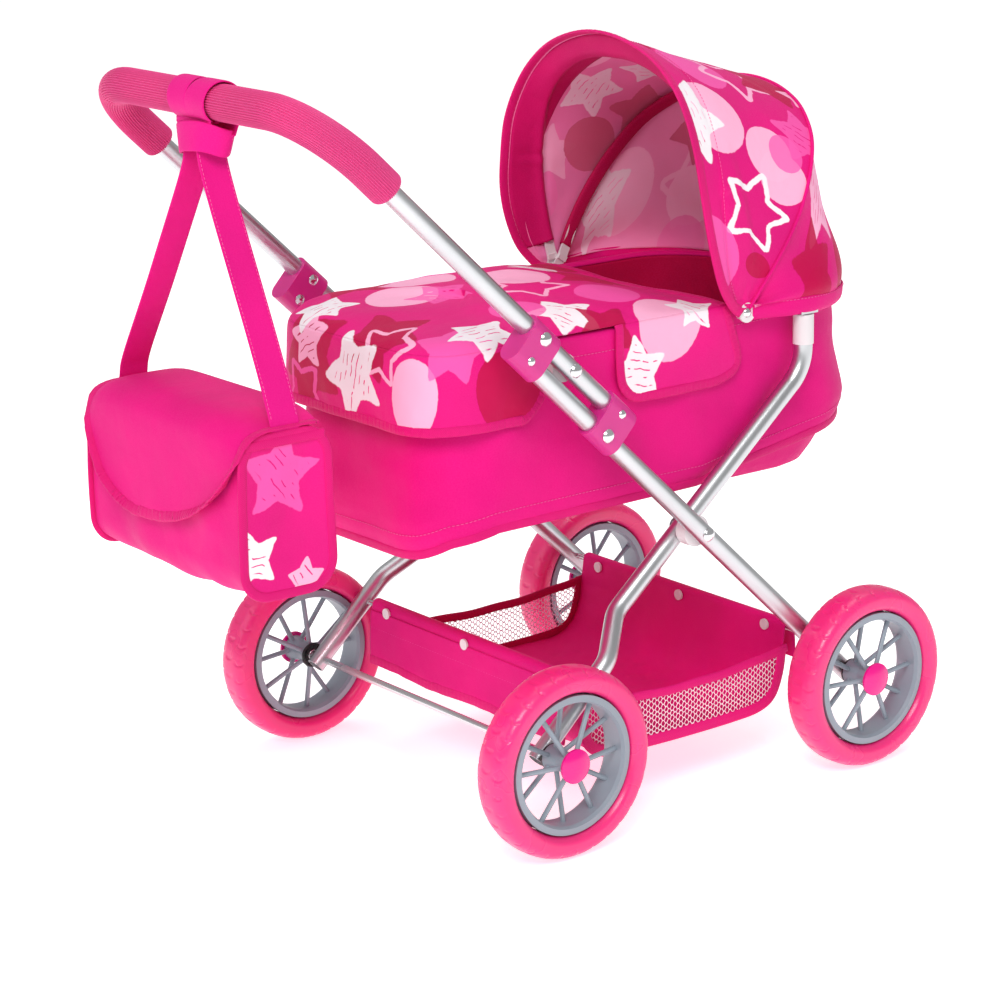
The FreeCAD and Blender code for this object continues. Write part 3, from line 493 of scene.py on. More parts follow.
def print_cloth(name, motifs, ground=MAGENTA, backlit_paling=0.0):
    """Cloth printed with hand-drawn stars and discs.  Each motif is (kind, colour,
    across, along, size, turn in degrees), in metres on the piece's UV map; later
    ones lie over earlier ones.  backlit_paling lightens all of it: painted light
    shining through the cloth from behind."""
    f = Finish(name)
    where = f.uv()
    grain, normal = weave(f, where)
    colour = tinted(f, ground, grain)
    edge = f.sum("MULTIPLY", f.sum("SUBTRACT", f.noise(where, 260.0, 2.0), 0.5), 0.05)
    strokes = {}
    for kind, tint, u, v, size, turn in motifs:
        centre = (u, v, 0.0)
        if kind == "disc":
            rel = f.vec("SUBTRACT", where, centre)
            d = f.sum("SUBTRACT", f.sum("DIVIDE", f.vec("LENGTH", rel, out=1), size), 1.0)
        else:
            d = f.node("ShaderNodeGroup", (where, centre, size, float(np.radians(turn))),
                       node_tree=STAR)
        d = f.sum("ADD", d, edge)
        if kind == "line":
            mask = f.ramp(f.sum("ABSOLUTE", d), 0.055, 0.075, 1.0, 0.0)
        else:
            mask = f.ramp(d, -0.012, 0.012, 1.0, 0.0)
        if kind == "sketch":
            lean = 10 if turn < 60 else 55
            if lean not in strokes:
                strokes[lean] = scribble(f, where, np.radians(lean))
            gaps = f.sum("MULTIPLY", strokes[lean], f.ramp(d, -0.16, -0.10, 1.0, 0.0))
            mask = f.sum("MULTIPLY", mask, f.sum("SUBTRACT", 1.0, gaps))
        solid = 0.82 if tint is MID_PINK else 0.96
        colour = f.mix(f.sum("MULTIPLY", mask, solid), colour, tint)
    # painted backlight: the whole of it mixed towards a pale pink
    if backlit_paling:
        colour = f.mix(backlit_paling, colour, (0.98, 0.42, 0.64))
    return f.set(Base_Color=colour, Roughness=0.6, Normal=normal, Sheen_Weight=0.08, **NAP)


def band_cloth(name, colour):
    """Ribbed tape: chevrons of thread from a sine of one length shifted by the
    fold of the other."""
    f = Finish(name)
    where = f.uv()
    along, over = f.parts(where)[:2]
    fold = f.sum("PINGPONG", over, 0.0022)
    rib = f.sum("SINE", f.sum("MULTIPLY", f.sum("ADD", along, fold), TURN / 0.0016))
    grain = f.noise(where, 700.0, 2.0)
    height = f.sum("ADD", f.sum("MULTIPLY", rib, 0.6), grain)
    return f.set(Base_Color=tinted(f, colour, f.ramp(rib, -1.0, 1.0, 0.3, 0.7)), Roughness=0.6,
                 Normal=f.bump(height, 0.00022, 0.6), Sheen_Weight=0.10, **NAP)


def metal(name, colour, rough, brush=260.0):
    """Drawn tube: fine streaks, slow smudges, tiny pits."""
    f = Finish(name)
    where = f.objects()
    streak = f.noise(where, brush, 3.0, 0.6)
    smudge = f.noise(where, 14.0, 3.0)
    tint = f.mix(f.ramp(smudge, 0.3, 0.7), tuple(0.86 * c for c in colour), colour)
    return f.set(Base_Color=tint, Metallic=1.0, Normal=f.bump(streak, 0.00006, 0.35),
                 Roughness=f.ramp(smudge, 0.3, 0.7, rough, rough + 0.10))


def plastic(name, colour, rough=0.35, grain=0.0, mottle=0.10, glow=0.0):
    """Moulded plastic or foam: slow tint variation, fine skin grain, smudged gloss."""
    f = Finish(name)
    where = f.objects()
    slow = f.ramp(f.noise(where, 18.0, 3.0), 0.3, 0.7)
    tint = f.mix(slow, tuple(c * (1 - mottle) for c in colour), colour)
    skin = f.noise(where, 420.0, 3.0, 0.6)
    gloss = f.ramp(f.noise(where, 33.0, 2.0), 0.3, 0.7, rough, rough + 0.08)
    return f.set(Base_Color=tint, Roughness=gloss, Normal=f.bump(skin, 0.0001, 0.15 + grain),
                 Subsurface_Weight=glow, Subsurface_Scale=0.004)


def net_finish():
    """White thread, pink in places."""
    f = Finish("net_thread")
    where = f.objects()
    tint = f.mix(f.noise(where, 600.0, 2.0), (0.90, 0.62, 0.74), (0.95, 0.88, 0.92))
    return f.set(Base_Color=tint, Roughness=0.55,
                 Normal=f.bump(f.noise(where, 1500.0), 0.0001, 0.4))


CLOTH = plain_cloth("magenta_oxford", MAGENTA)
LINING = plain_cloth("crimson_lining", (0.62, 0.001, 0.062), rough=0.75)
STRAP = plain_cloth("magenta_strap", (0.82, 0.006, 0.24))
UNDER = plain_cloth("crimson_turning", (0.46, 0.0015, 0.06))
TAPE = band_cloth("woven_tape", BAND)
# the same tape, darker: painted shade for the far side of the basket, seen from inside
TAPE_SHADED = band_cloth("woven_tape_painted_shade", (0.50, 0.002, 0.07))
THREAD = plastic("sewing_thread", (0.86, 0.10, 0.36), 0.6)
NET = net_finish()
TYRE = plastic("tyre_foam", (0.90, 0.030, 0.215), 0.25, 0.10, 0.07, 0.10)
GRIP = plastic("grip_foam", (0.72, 0.050, 0.235), 0.60, 0.35, 0.12)
SPOKES = plastic("wheel_grey", (0.30, 0.345, 0.40), 0.38, 0.1)
CAP = plastic("hub_cap_gloss", (0.88, 0.004, 0.26), 0.16)
CLAMP = plastic("clamp_pink", (0.63, 0.022, 0.24), 0.30, 0.1, 0.07, 0.1)
WHITE_PLASTIC = plastic("white_moulding", (0.80, 0.74, 0.76), 0.35)
BLACK_PLASTIC = plastic("black_moulding", (0.012, 0.012, 0.014), 0.4)
BOARD = plastic("board", (0.55, 0.42, 0.30), 0.8, 0.4)
SILVER = metal("satin_silver_tube", (0.66, 0.67, 0.69), 0.30)
BRIGHT = metal("chrome_rivet", (0.80, 0.80, 0.82), 0.12, 120.0)
WIRE = metal("bright_wire", (0.74, 0.74, 0.76), 0.22)

COVER_PRINT = print_cloth("printed_cover", [
    ("star", CRIMSON, -0.244, 0.050, 0.052, 10), ("star", CRIMSON, -0.212, -0.030, 0.044, 40),
    ("disc", PALE_PINK, -0.250, -0.094, 0.031, 0), ("disc", CRIMSON, -0.168, -0.150, 0.030, 0),
    ("disc", CRIMSON, -0.140, -0.166, 0.024, 0), ("star", MID_PINK, -0.196, -0.100, 0.034, 25),
    ("line", MID_PINK, -0.276, 0.060, 0.034, 15), ("line", PALE_PINK, -0.222, -0.045, 0.031, 50),
    ("sketch", PALE_PINK, -0.230, 0.052, 0.026, 62), ("sketch", WHITE, -0.200, 0.062, 0.030, 20),
    ("sketch", WHITE, -0.247, -0.012, 0.040, 8), ("disc", PALE_PINK, -0.146, 0.034, 0.029, 0),
    ("sketch", MID_PINK, -0.124, 0.014, 0.030, 64), ("sketch", WHITE, -0.168, -0.098, 0.031, 12),
    ("sketch", WHITE, -0.086, -0.094, 0.033, 66), ("star", CRIMSON, -0.062, -0.120, 0.033, 20),
    ("disc", MID_PINK, -0.112, -0.070, 0.022, 0), ("disc", PALE_PINK, -0.046, 0.024, 0.032, 0),
    ("line", PALE_PINK, -0.060, -0.016, 0.034, 22), ("disc", MID_PINK, -0.020, -0.066, 0.026, 0),
    ("disc", PALE_PINK, 0.000, -0.122, 0.031, 0), ("sketch", WHITE, 0.028, -0.112, 0.024, 64),
    ("sketch", WHITE, -0.034, -0.158, 0.033, 4), ("star", CRIMSON, 0.012, -0.004, 0.038, 30),
    ("sketch", WHITE, 0.012, 0.060, 0.034, 14), ("disc", PALE_PINK, -0.100, 0.080, 0.033, 0),
    ("star", CRIMSON, -0.150, 0.100, 0.040, 50), ("disc", MID_PINK, -0.060, 0.112, 0.030, 0),
    ("sketch", WHITE, -0.185, 0.130, 0.032, 64), ("line", WHITE, 0.030, 0.130, 0.034, 30),
    ("sketch", PALE_PINK, -0.020, 0.160, 0.030, 8), ("disc", CRIMSON, 0.052, 0.090, 0.026, 0),
    ("disc", PALE_PINK, -0.120, 0.165, 0.030, 0)])

HOOD_MOTIFS = [
    ("disc", PALE_PINK, -0.114, 0.030, 0.031, 0), ("sketch", WHITE, -0.118, 0.002, 0.040, 4),
    ("disc", PALE_PINK, -0.141, 0.080, 0.024, 0), ("disc", PALE_PINK, -0.162, 0.088, 0.024, 0),
    ("disc", MID_PINK, -0.140, 0.098, 0.017, 0), ("line", WHITE, -0.190, 0.050, 0.036, 12),
    ("sketch", MID_PINK, -0.122, 0.124, 0.032, 62), ("disc", MID_PINK, -0.052, 0.052, 0.030, 0),
    ("line", PALE_PINK, -0.052, 0.094, 0.038, 26), ("star", CRIMSON, -0.052, 0.134, 0.040, 14),
    ("sketch", PALE_PINK, -0.068, 0.160, 0.024, 60), ("disc", MID_PINK, -0.220, -0.004, 0.028, 0),
    ("disc", CRIMSON, -0.236, 0.040, 0.012, 0), ("star", CRIMSON, 0.000, 0.030, 0.036, 30),
    ("sketch", WHITE, 0.014, 0.090, 0.034, 6), ("sketch", WHITE, 0.104, 0.066, 0.034, 12),
    ("sketch", MID_PINK, 0.102, 0.014, 0.030, 64), ("disc", MID_PINK, 0.205, 0.024, 0.028, 0),
    ("star", PALE_PINK, 0.172, 0.044, 0.030, 20), ("disc", CRIMSON, 0.160, 0.085, 0.028, 0),
    ("star", CRIMSON, 0.118, 0.130, 0.040, 40), ("sketch", WHITE, 0.056, 0.100, 0.030, 62),
    ("disc", PALE_PINK, 0.060, 0.030, 0.026, 0)]
HOOD_PRINT = print_cloth("printed_hood", HOOD_MOTIFS)
# inside faces of the front panel: a lighter ground and paling, painted light shining through the
# cloth from behind
HOOD_INSIDE_BACKLIT = print_cloth("printed_hood_inside_painted_backlight", HOOD_MOTIFS, (0.94, 0.16, 0.46), 0.30)
BACK_MOTIFS = [
    ("sketch", PALE_PINK, -0.120, 0.026, 0.047, 10), ("disc", CRIMSON, -0.186, 0.066, 0.026, 0),
    ("star", CRIMSON, -0.172, 0.046, 0.036, 4), ("disc", CRIMSON, -0.124, 0.100, 0.028, 0),
    ("line", PALE_PINK, -0.128, 0.130, 0.030, 20), ("star", CRIMSON, -0.060, 0.060, 0.040, 30),
    ("disc", PALE_PINK, -0.010, 0.040, 0.034, 0), ("sketch", WHITE, 0.000, 0.100, 0.036, 64),
    ("disc", PALE_PINK, 0.143, 0.042, 0.031, 0), ("sketch", WHITE, 0.172, 0.024, 0.042, 8),
    ("disc", PALE_PINK, 0.084, 0.092, 0.026, 0), ("line", PALE_PINK, 0.080, 0.086, 0.038, 20),
    ("star", CRIMSON, 0.060, 0.040, 0.034, 44), ("disc", MID_PINK, 0.110, 0.130, 0.028, 0)]
BACK_PRINT = print_cloth("printed_hood_back", BACK_MOTIFS)
# inside faces of the back panel: a lighter ground and paling, painted light shining through the
# cloth from behind
BACK_INSIDE_BACKLIT = print_cloth("printed_hood_back_inside_painted_backlight", BACK_MOTIFS, (0.97, 0.27, 0.54), 0.30)
BAG_PRINT = print_cloth("printed_gusset", [
    ("sketch", MID_PINK, -0.004, 0.318, 0.036, 64), ("sketch", WHITE, -0.032, 0.260, 0.027, 10),
    ("sketch", PALE_PINK, 0.014, 0.236, 0.018, 66)])

# ------------------------------------------------- finishes of the CAD nodes
def node_object(node):
    found = frame["nodes"][node]
    return found if isinstance(found, bpy.types.Object) else bpy.data.objects[str(found)]


ENDS, SIDES = ("front", "rear"), ("left", "right")
SHARED = [
    (SILVER, ["handle_tube", "rim_frame"] + ["%s_leg_%s" % (e, d) for e in ENDS for d in SIDES]),
    (WIRE, ["%s_%s" % (e, k) for e in ENDS for k in ("axle", "basket_rod")]
     + ["axle_clip_%s_%s" % (e, d) for e in ENDS for d in SIDES]),
    (WHITE_PLASTIC, ["leg_clip_left", "leg_clip_right", "pivot_spacers", "front_bow", "rear_bow",
                     "hood_eyelet_left", "hood_eyelet_right", "basket_snaps"]),
    (CLAMP, ["%s_bracket_%s" % (e, d) for e in ("upper", "lower") for d in SIDES]),
    (BRIGHT, ["bracket_rivets", "pivot_bolts", "hood_screws"]),
    (BOARD, ["base_board"]),
    (SPOKES, ["rim_%s_%s" % (e, d) for e in ENDS for d in SIDES]),
    (CAP, ["hub_cap_%s_%s" % (e, d) for e in ENDS for d in SIDES])]
for mat, nodes in SHARED:
    for node in nodes:
        for place in node_object(node).material_slots:
            place.material = mat

# ------------------------------------------------------------ tyres, hubs
TREAD_R, SECTION_R = 75.0, 64.8
DENT_R, DENT_WALL, DENT_DEPTH = 2.9, 0.85, 0.85


def dimples(angle, across, count=30, rows=((-11.5, 0.0), (11.5, 0.5), (0.0, 0.25))):
    """Depth of the tread's small C-shaped dents: rings open to one side, evenly
    spaced round the tyre in staggered rows."""
    depth = np.zeros_like(angle)
    for y, shift in rows:
        pitch = TURN / count
        along = ((angle / pitch + shift) % 1 - 0.5) * pitch * TREAD_R
        wall = np.exp(-((np.hypot(along, across - y) - DENT_R) / DENT_WALL) ** 2)
        open_side = ease(0.5 + 1.4 * along / DENT_R)
        depth += DENT_DEPTH * wall * (0.15 + 0.85 * open_side)
    return depth


def tyre(name, end, x, y):
    """Ring turned about the axle: a superellipse section 32 mm wide, fuller at the
    tread, less the dimples."""
    n, m = 760, 64
    u, v = np.arange(n) * TURN / n, np.arange(m) * TURN / m
    u, v = np.meshgrid(u, v, indexing="ij")
    c, s = np.cos(v), np.sin(v)
    across = 16.0 * np.sign(s) * abs(s) ** 0.78
    rise = np.where(c > 0, 10.2, 9.6) * np.sign(c) * abs(c) ** 0.72
    r = SECTION_R + rise - dimples(u, across) * ease((rise + 2) / 8)
    # the foam sits in the rim's groove
    r = np.where(rise < -6, SECTION_R + rise * 0.98, r)
    p = np.stack([x + r * np.cos(u), y + across, AXLE_Z + r * np.sin(u)], -1)
    obj = surface(name, p, True, True, outward=True)
    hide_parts(name.replace("foam_", "tyre_"))
    return finish(obj, "wheel_" + end, "tyre_foam", TYRE)


def hub_back(name, end, x, y, side):
    """Black ring with radial slots round the axle, on the wheel's inner face: a
    washer whose thickness is a square wave of the angle."""
    n = 144
    a = np.arange(n) * TURN / n
    tooth = np.where(np.sin(a * 12) > 0, 1.6, 0.4)
    prof = [(4.2, 0.2), (4.2, 1.8), (5.6, 1.8), (5.8, 0.2),
            (8.9, 0.2), (9.1, 1.9), (10.2, 1.9), (10.3, 0.0)]
    rows = []
    for r, t in prof:
        t = np.where((r > 5.7) & (r < 9.0), 0.25 + tooth, t)
        rows.append(np.stack([x + r * np.cos(a), y - side * t, AXLE_Z + r * np.sin(a)], -1))
    obj = surface(name, np.stack(rows), wrap_j=True, outward=True)
    thicken(obj, 0.4)
    return finish(obj, "wheel_" + end, "cap_plastic", BLACK_PLASTIC)


for end, x in zip(ENDS, (HALF_BASE, -HALF_BASE)):
    for side, sign in zip(SIDES, (1, -1)):
        wheel = "%s_%s" % (end, side)
        y = middle("rim_" + wheel, 1) * 1000
        tyre("foam_" + wheel, wheel, x, middle("tyre_" + wheel, 1) * 1000)
        low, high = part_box("rim_" + wheel)
        inner_y = (low[1] if sign > 0 else high[1]) * 1000
        hub_back("hub_ring_" + wheel, wheel, x, inner_y, sign)


# --------------------------------------------------------------- the grip
TILT = np.radians(46.55)
ALONG = np.array([-np.sin(TILT), 0, np.cos(TILT)])
ACROSS = np.array([np.cos(TILT), 0, np.sin(TILT)])
CROSSING = np.array([4.5, 0, 219.4])
BAR = CROSSING + ALONG * 502.7 + ACROSS * 20
ARM_Y, CORNER = 152.0, 58.0


def handle_line(n):
    """The handle's middle line under the grip: two arms, two quarter arcs of the
    corner radius and the bar, in the plane of the arms and Y."""
    foot = CROSSING + ALONG * 422 + ACROSS * 20
    a = np.linspace(0, np.pi / 2, 24)[:, None]
    centre = BAR - ALONG * CORNER
    near = centre - LEFT * (ARM_Y - CORNER) - LEFT * CORNER * np.cos(a) + ALONG * CORNER * np.sin(a)
    far = near[::-1] * [1, -1, 1]
    return even(np.vstack([foot - LEFT * ARM_Y, near, far, foot + LEFT * ARM_Y]), n)


def ribbed(n, ribs=44, radius=13.0, deep=0.62):
    """Circle with a cosine of the angle added: the foam's lengthwise ribs."""
    return ring(radius + deep * np.cos(ribs * (np.arange(n) * TURN / n)), n)


grip_line = handle_line(260)
square_to = np.cross(ACROSS, across_of(grip_line, ACROSS)[0])
shape = np.repeat(ribbed(352)[None], 260, 0)
run = run_of(grip_line)
end_gap = np.minimum(run, run[-1] - run)
shape = shape * (1 - 0.10 * np.exp(-end_gap / 0.8))[:, None, None]
grip = strand("ribbed_grip", grip_line, square_to, shape, "push_frame", "grip_foam", GRIP)
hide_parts("foam_grip")


# ---------------------------------------------------------------- the cot
def outline(hx, hy, r, steps=(10, 26, 90, 26, 14, 26, 90, 26, 10)):
    """Rounded rectangle seen from above, counterclockwise from the middle of its
    +X end.  Its corner centres slide along straights while the angle waits, then
    the angle turns while they wait.  Sizes may be arrays: one row for each."""
    sx, sy, th = [], [], []
    runs = ((1, 1, 0, 1, 0, 0), (1, 1, 1, 1, 0, 1), (1, -1, 1, 1, 1, 1), (-1, -1, 1, 1, 1, 2),
            (-1, -1, 1, -1, 2, 2), (-1, -1, -1, -1, 2, 3), (-1, 1, -1, -1, 3, 3),
            (1, 1, -1, -1, 3, 4), (1, 1, -1, 0, 4, 4))
    for n, (x0, x1, y0, y1, a0, a1) in zip(steps, runs):
        f = np.arange(n) / n
        sx.append(x0 + (x1 - x0) * f)
        sy.append(y0 + (y1 - y0) * f)
        th.append((a0 + (a1 - a0) * f) * np.pi / 2)
    sx, sy, th = map(np.concatenate, (sx, sy, th))
    hx, hy, r = [np.atleast_1d(np.asarray(v, float))[:, None] for v in (hx, hy, r)]
    return np.stack([sx * (hx - r) + r * np.cos(th), sy * (hy - r) + r * np.sin(th)], -1)


def levels(at, table):
    """Every other column of a given table, read off between its rows by the first."""
    first, *others = np.asarray(table, float).T
    return [np.interp(at, first, column) for column in others]


def at_heights(flat, z):
    """Rows of plan points set at one height each."""
    return np.concatenate([flat, np.broadcast_to(z[:, None, None], flat.shape[:2] + (1,))], -1)


def round_again(p):
    """The grid with its first column repeated at its end."""
    return np.concatenate([p, p[:, :1]], 1)


RIM_Z, RIM_LIP = 381, 4.9


HEM_X = [-222, -214, -200, -167, 34, 82, 142, 192, 223]
HEM_Z = [226, 229, 239, 247.5, 250, 259, 267, 276, 281]


def cot_wall():
    """Outer cloth: rounded rectangles from the rim down to the hem, the height
    of each point shared out between rim and hem, then in under the base board."""
    q = np.linspace(0, 1, 46)
    hx, hy, r = levels(q, [(0, 212.4, 115.4, 66), (0.05, 210.5, 114.4, 65),
                           (0.35, 213.5, 114.0, 64), (0.6, 218.5, 114.4, 64),
                           (0.85, 222.5, 114.2, 62), (0.95, 222, 113.4, 62),
                           (1, 219, 111.5, 60)])
    flat = outline(hx, hy, r)
    hem = np.interp(flat[-1, :, 0], HEM_X, HEM_Z)
    z = RIM_Z + (hem[None] - RIM_Z) * q[:, None]
    wall = np.concatenate([flat, z[..., None]], -1)
    out = unit(np.stack([flat[20, :, 0] * 0.5, flat[20, :, 1], 0 * flat[20, :, 0]], -1))
    amount = ripple(wall, 90, 3, 2.8) + ripple(wall, 30, 4, 1.0)
    # slow drape folds that fade towards the rim, and a pull at the hem
    x, z = wall[..., 0], wall[..., 2]
    amount += np.sin(x / 24 + 1.2 * np.sin(z / 26)) * ease((q[:, None] - 0.3) * 2)
    amount += 0.45 * np.sin(x / 6.3 + 2 * np.sin(x / 41)) * ease((q[:, None] - 0.86) * 8)
    wall += out[None] * (amount * np.sin(np.pi * np.clip(q, 0, 1))[:, None] ** 0.5)[..., None]
    f = np.r_[0.012, 0.03, np.linspace(0.06, 1, 26)]
    inner = wall[-1][None] * (1 - f[:, None, None])
    z = 240.6 + (wall[-1, :, 2] - 240.6)[None] * (1 - ease(f / 0.16))[:, None]
    z -= 3.0 * (np.sin(np.pi * np.clip(f / 0.5, 0, 1)) ** 2)[:, None]
    inner[..., 2] = np.minimum(z, 400)
    return wall, np.concatenate([wall, inner])


cot_side, cot_all = cot_wall()
roll = np.linspace(-1.2, 1.5, 9)
lip = RIM_LIP * np.sin(roll)
over_rim = at_heights(outline(208 + lip, 111 + lip, 62 + lip), RIM_Z + RIM_LIP * np.cos(roll))
shell = panel("cot_cloth_shell", np.concatenate([over_rim[:-1], cot_all]), 0.9, "cot", "cot_cloth",
              [CLOTH], "cot_shell", wrap_j=True, weld=True, flip=True)

q = np.linspace(0, 1, 34)
hx, hy, r = levels(q, [(0, 204, 107, 58), (0.12, 204.5, 107.5, 59), (0.5, 208, 109, 58),
                       (0.75, 208, 106, 54), (0.93, 193, 98, 46), (1, 185, 92, 40)])
flat = outline(hx, hy, r)
z = 384 + (248 - 384) * q
lining = at_heights(flat, z)
slack = ripple(lining, 60, 9, 1.2) * np.sin(np.pi * q)[:, None]
lining += unit(lining * ON_FLOOR) * slack[..., None]
f = np.linspace(0.04, 1, 22)
floor = lining[-1][None] * (1 - f[:, None, None])
floor[..., 2] = 248.2 + ripple(floor, 55, 10, 0.7) * (f * (1 - f) * 4)[:, None]
lining = np.concatenate([lining, floor])
inside = panel("cot_lining", lining, 0.6, "cot", "cot_cloth", [LINING], wrap_j=True, weld=True)


def outwards(row):
    """Level directions away from the cot's middle."""
    return unit(row * [0.6, 1, 0])


hem_row, seam_row, rim_row = cot_side[-1], cot_side[-5], cot_side[4]
hem_tape = binding("cot_hem_tape", hem_row, outwards(hem_row), -1, "cot", "cot_cloth", TAPE,
                   width=7.5, thick=2.8, closed=True)
cot_seam, rim_seam = [
    stitches("cot_%s_stitches" % name, row + outwards(row) * above, outwards(row), "cot")
    for name, row, above in (("seam", seam_row, 0.7), ("rim", rim_row, 0.6))]
cloth(shell, round_again(cot_all))
cloth(inside, round_again(lining))


# -------------------------------------------------------------- the cover
COVER_X, COVER_Y, COVER_R, EDGE_X = -222.0, 116.9, 54.0, 60.0


def rim_path(start=EDGE_X, n=420):
    """Level path from the near front corner back along the rim, round the foot end
    and forward along the far side."""
    r, xc, yc = COVER_R, COVER_X + COVER_R, COVER_Y - COVER_R
    a = np.linspace(0, np.pi / 2, 30)[:, None]
    near = np.hstack([xc - r * np.sin(a), -yc - r * np.cos(a)])
    far = near[::-1] * [1, -1]
    return even(np.vstack([[start, -yc - r], near, far, [start, yc + r]]), n)


def edge_height(x):
    """Height of the seam between the panel and its flaps: lower at the foot."""
    return 383.6 + 4.4 * ease((x + 216) / 60)


def cover_top():
    """Crowned panel: rays run in from the rim to a line down its middle; height
    rises steeply beside the seam, then gently; the front edge sags."""
    edge = rim_path()
    spine = np.stack([np.clip(edge[:, 0], COVER_X + COVER_Y - 4, EDGE_X), 0 * edge[:, 0]], 1)
    f = np.r_[0, 0.006, 0.014, 0.024, 0.038, 0.055, np.linspace(0.08, 1, 40)]
    p = edge[:, None] + (spine - edge)[:, None] * f[None, :, None]
    d = np.linalg.norm(p - edge[:, None], axis=-1)
    foot = ease((p[..., 0] + 30) / 95)
    crown = 6.5 * (1 - np.exp(-d / 8.0)) + (11.0 - 9.5 * foot) * (1 - np.exp(-d / 48.0))
    sag = 6.5 * ease((p[..., 0] - 5) / 55) * (1 - (p[..., 1] / 117) ** 2)
    z = edge_height(edge[:, :1]) + crown * (1 - 0.45 * foot) - sag
    x = p[..., 0] + 5.0 * foot * (1 - (p[..., 1] / 117) ** 2)
    p = np.stack([x, p[..., 1], z], -1)
    puff = ripple(p, 75, 21, 1.7) + ripple(p, 30, 22, 0.5)
    # gathers that run in from the seam
    run = run_of(edge)[:, None]
    puff += 0.55 * np.sin(run / 5.1 + 1.3 * np.sin(run / 17)) * np.exp(-((d - 9) / 8) ** 2)
    p[..., 2] += puff * ease(d / 8)
    return p, p[..., :2] / 1000


def corner_drop(x, x0, x1, low, r0, r1):
    """Lower edge of a flap from x0 to x1: level at low, with round ends."""
    z = np.full_like(x, low)
    for end_x, r, way in ((x0, r0, 1), (x1, r1, -1)):
        t = np.clip((x - end_x) * way, 0, r)
        arc = low + r - np.sqrt(np.maximum(r * r - (r - t) ** 2, 0))
        z = np.maximum(z, np.where((x - end_x) * way < r, arc, 0))
    return z


def flap(path, bottom, seed, lean, wide):
    """Cloth hanging from the rim along a path: columns go down from the seam to the
    lower edge, first out over the rim and then down with slow folds."""
    out = unit(np.stack([np.gradient(path[:, 1]), -np.gradient(path[:, 0])], 1))
    out *= np.sign((out * path).sum(1, keepdims=True))
    f = np.linspace(0, 1, 40)
    seam = edge_height(path[:, 0])[:, None]
    drop = (seam - bottom[:, None]) * f[None]
    stand = 1.6 * (1 - np.exp(-drop / 2.5))
    stand = stand + wide * ease(-path[:, :1] / 60 - 2.6) * np.sin(drop / 60 * 1.8)
    p = path[:, None] + out[:, None] * stand[..., None]
    p = np.concatenate([p, (seam - drop)[..., None]], -1)
    p[..., 0] += lean * drop * ease((path[:, :1] - 25) / 35)
    folds = (ripple(p, 60, seed, 1.3) + ripple(p, 26, seed + 1, 0.35)) * ease(drop / 45)
    p[..., :2] += out[:, None] * np.maximum(folds, -1.0)[..., None]
    u = path[:, :1] + out[:, :1] * drop
    v = path[:, 1:] + out[:, 1:] * drop
    return p, np.stack([u, v], -1) / 1000, out


def rim_run(p, out):
    """Edge of a flap from its seam down, along and up again, with the cloth's
    outward direction beside it."""
    rows = p.shape[1]
    n = np.concatenate([np.repeat(out[:1], rows, 0), out[1:], np.repeat(out[-1:], rows - 1, 0)])
    n = np.hstack([n, 0 * n[:, :1]])
    return np.concatenate([p[0], p[1:, -1], p[-1, -2::-1]]), n


top, top_uv = cover_top()
cover = panel("cover_top", top, 1.0, "cot", "cover_cloth", [COVER_PRINT], "cot_cover",
              uv=top_uv, weld=True)
edge_line = np.concatenate([top[0], top[-1, -2::-1]])
keep_xy = np.r_[True, np.linalg.norm(np.diff(edge_line, axis=0), axis=1) > 1e-3]
edge_line = edge_line[keep_xy]
front_tape = binding("cover_front_tape", curve(edge_line[::6], 200), UP, 1, "cot", "cover_cloth",
                     TAPE, width=8.5)
cloth(cover, top)


def cover_flap(name, path, bottom, seed, lean=0.0, wide=0.0):
    """A flap with the tape round its free edge."""
    p, uv, out = flap(path, bottom, seed, lean, wide)
    obj = panel(name, p, 0.9, "cot", "cover_cloth", [COVER_PRINT], uv=uv, flip=True)
    line, n = rim_run(p, out)
    tape = binding(name + "_tape", line, n, -1, "cot", "cover_cloth", TAPE, width=8.0)
    cloth(obj, p)


FLAP_X0, FLAP_X1 = -53, 60
for name, sign, seed in (("near", NEAR, 31), ("far", FAR, 37)):
    x = np.linspace(FLAP_X1, FLAP_X0, 130)[::-sign]
    path = np.stack([x, sign * np.full_like(x, COVER_Y)], 1)
    cover_flap("cover_front_flap_" + name, path,
               corner_drop(x, FLAP_X0, FLAP_X1, 326.0, 24, 26), seed, lean=0.30)
whole = rim_path(66.0, 900)
run = run_of(whole)
start = np.argmin(np.abs(whole[:450, 0] + 119))
path = whole[start:len(whole) - start]
at = run[start:len(whole) - start] - run[start]
foot = np.interp(np.abs(path[:, 1]), [0, 50, 90, 117], [317, 319, 323, 327])
ends = corner_drop(at, 0, at[-1], 324.0, 44, 44) - 0.5
cover_flap("cover_foot_flap", path, np.maximum(foot, ends), 41, wide=3.0)


# ---------------------------------------------------------------- the hood
HINGE = np.array([75.0, 0, 381.0])
REAR_LEAN = np.radians(33)
N_ARCH = 241


def both_sides(points):
    """Smooth curve from the near hem over the middle to the far hem, from points of
    the near half (x, half width, z) that end at the middle."""
    half = np.asarray(points, float) * [1, -1, 1]
    return curve(np.vstack([half, (half[:-1] * [1, -1, 1])[::-1]]), N_ARCH)


def leaning(points, lean):
    """Points (half width, height in the bow's plane) set up at the hinge."""
    wide, high = np.asarray(points, float).T
    return np.stack([HINGE[0] + high * np.sin(lean), wide, HINGE[2] + high * np.cos(lean)], 1)


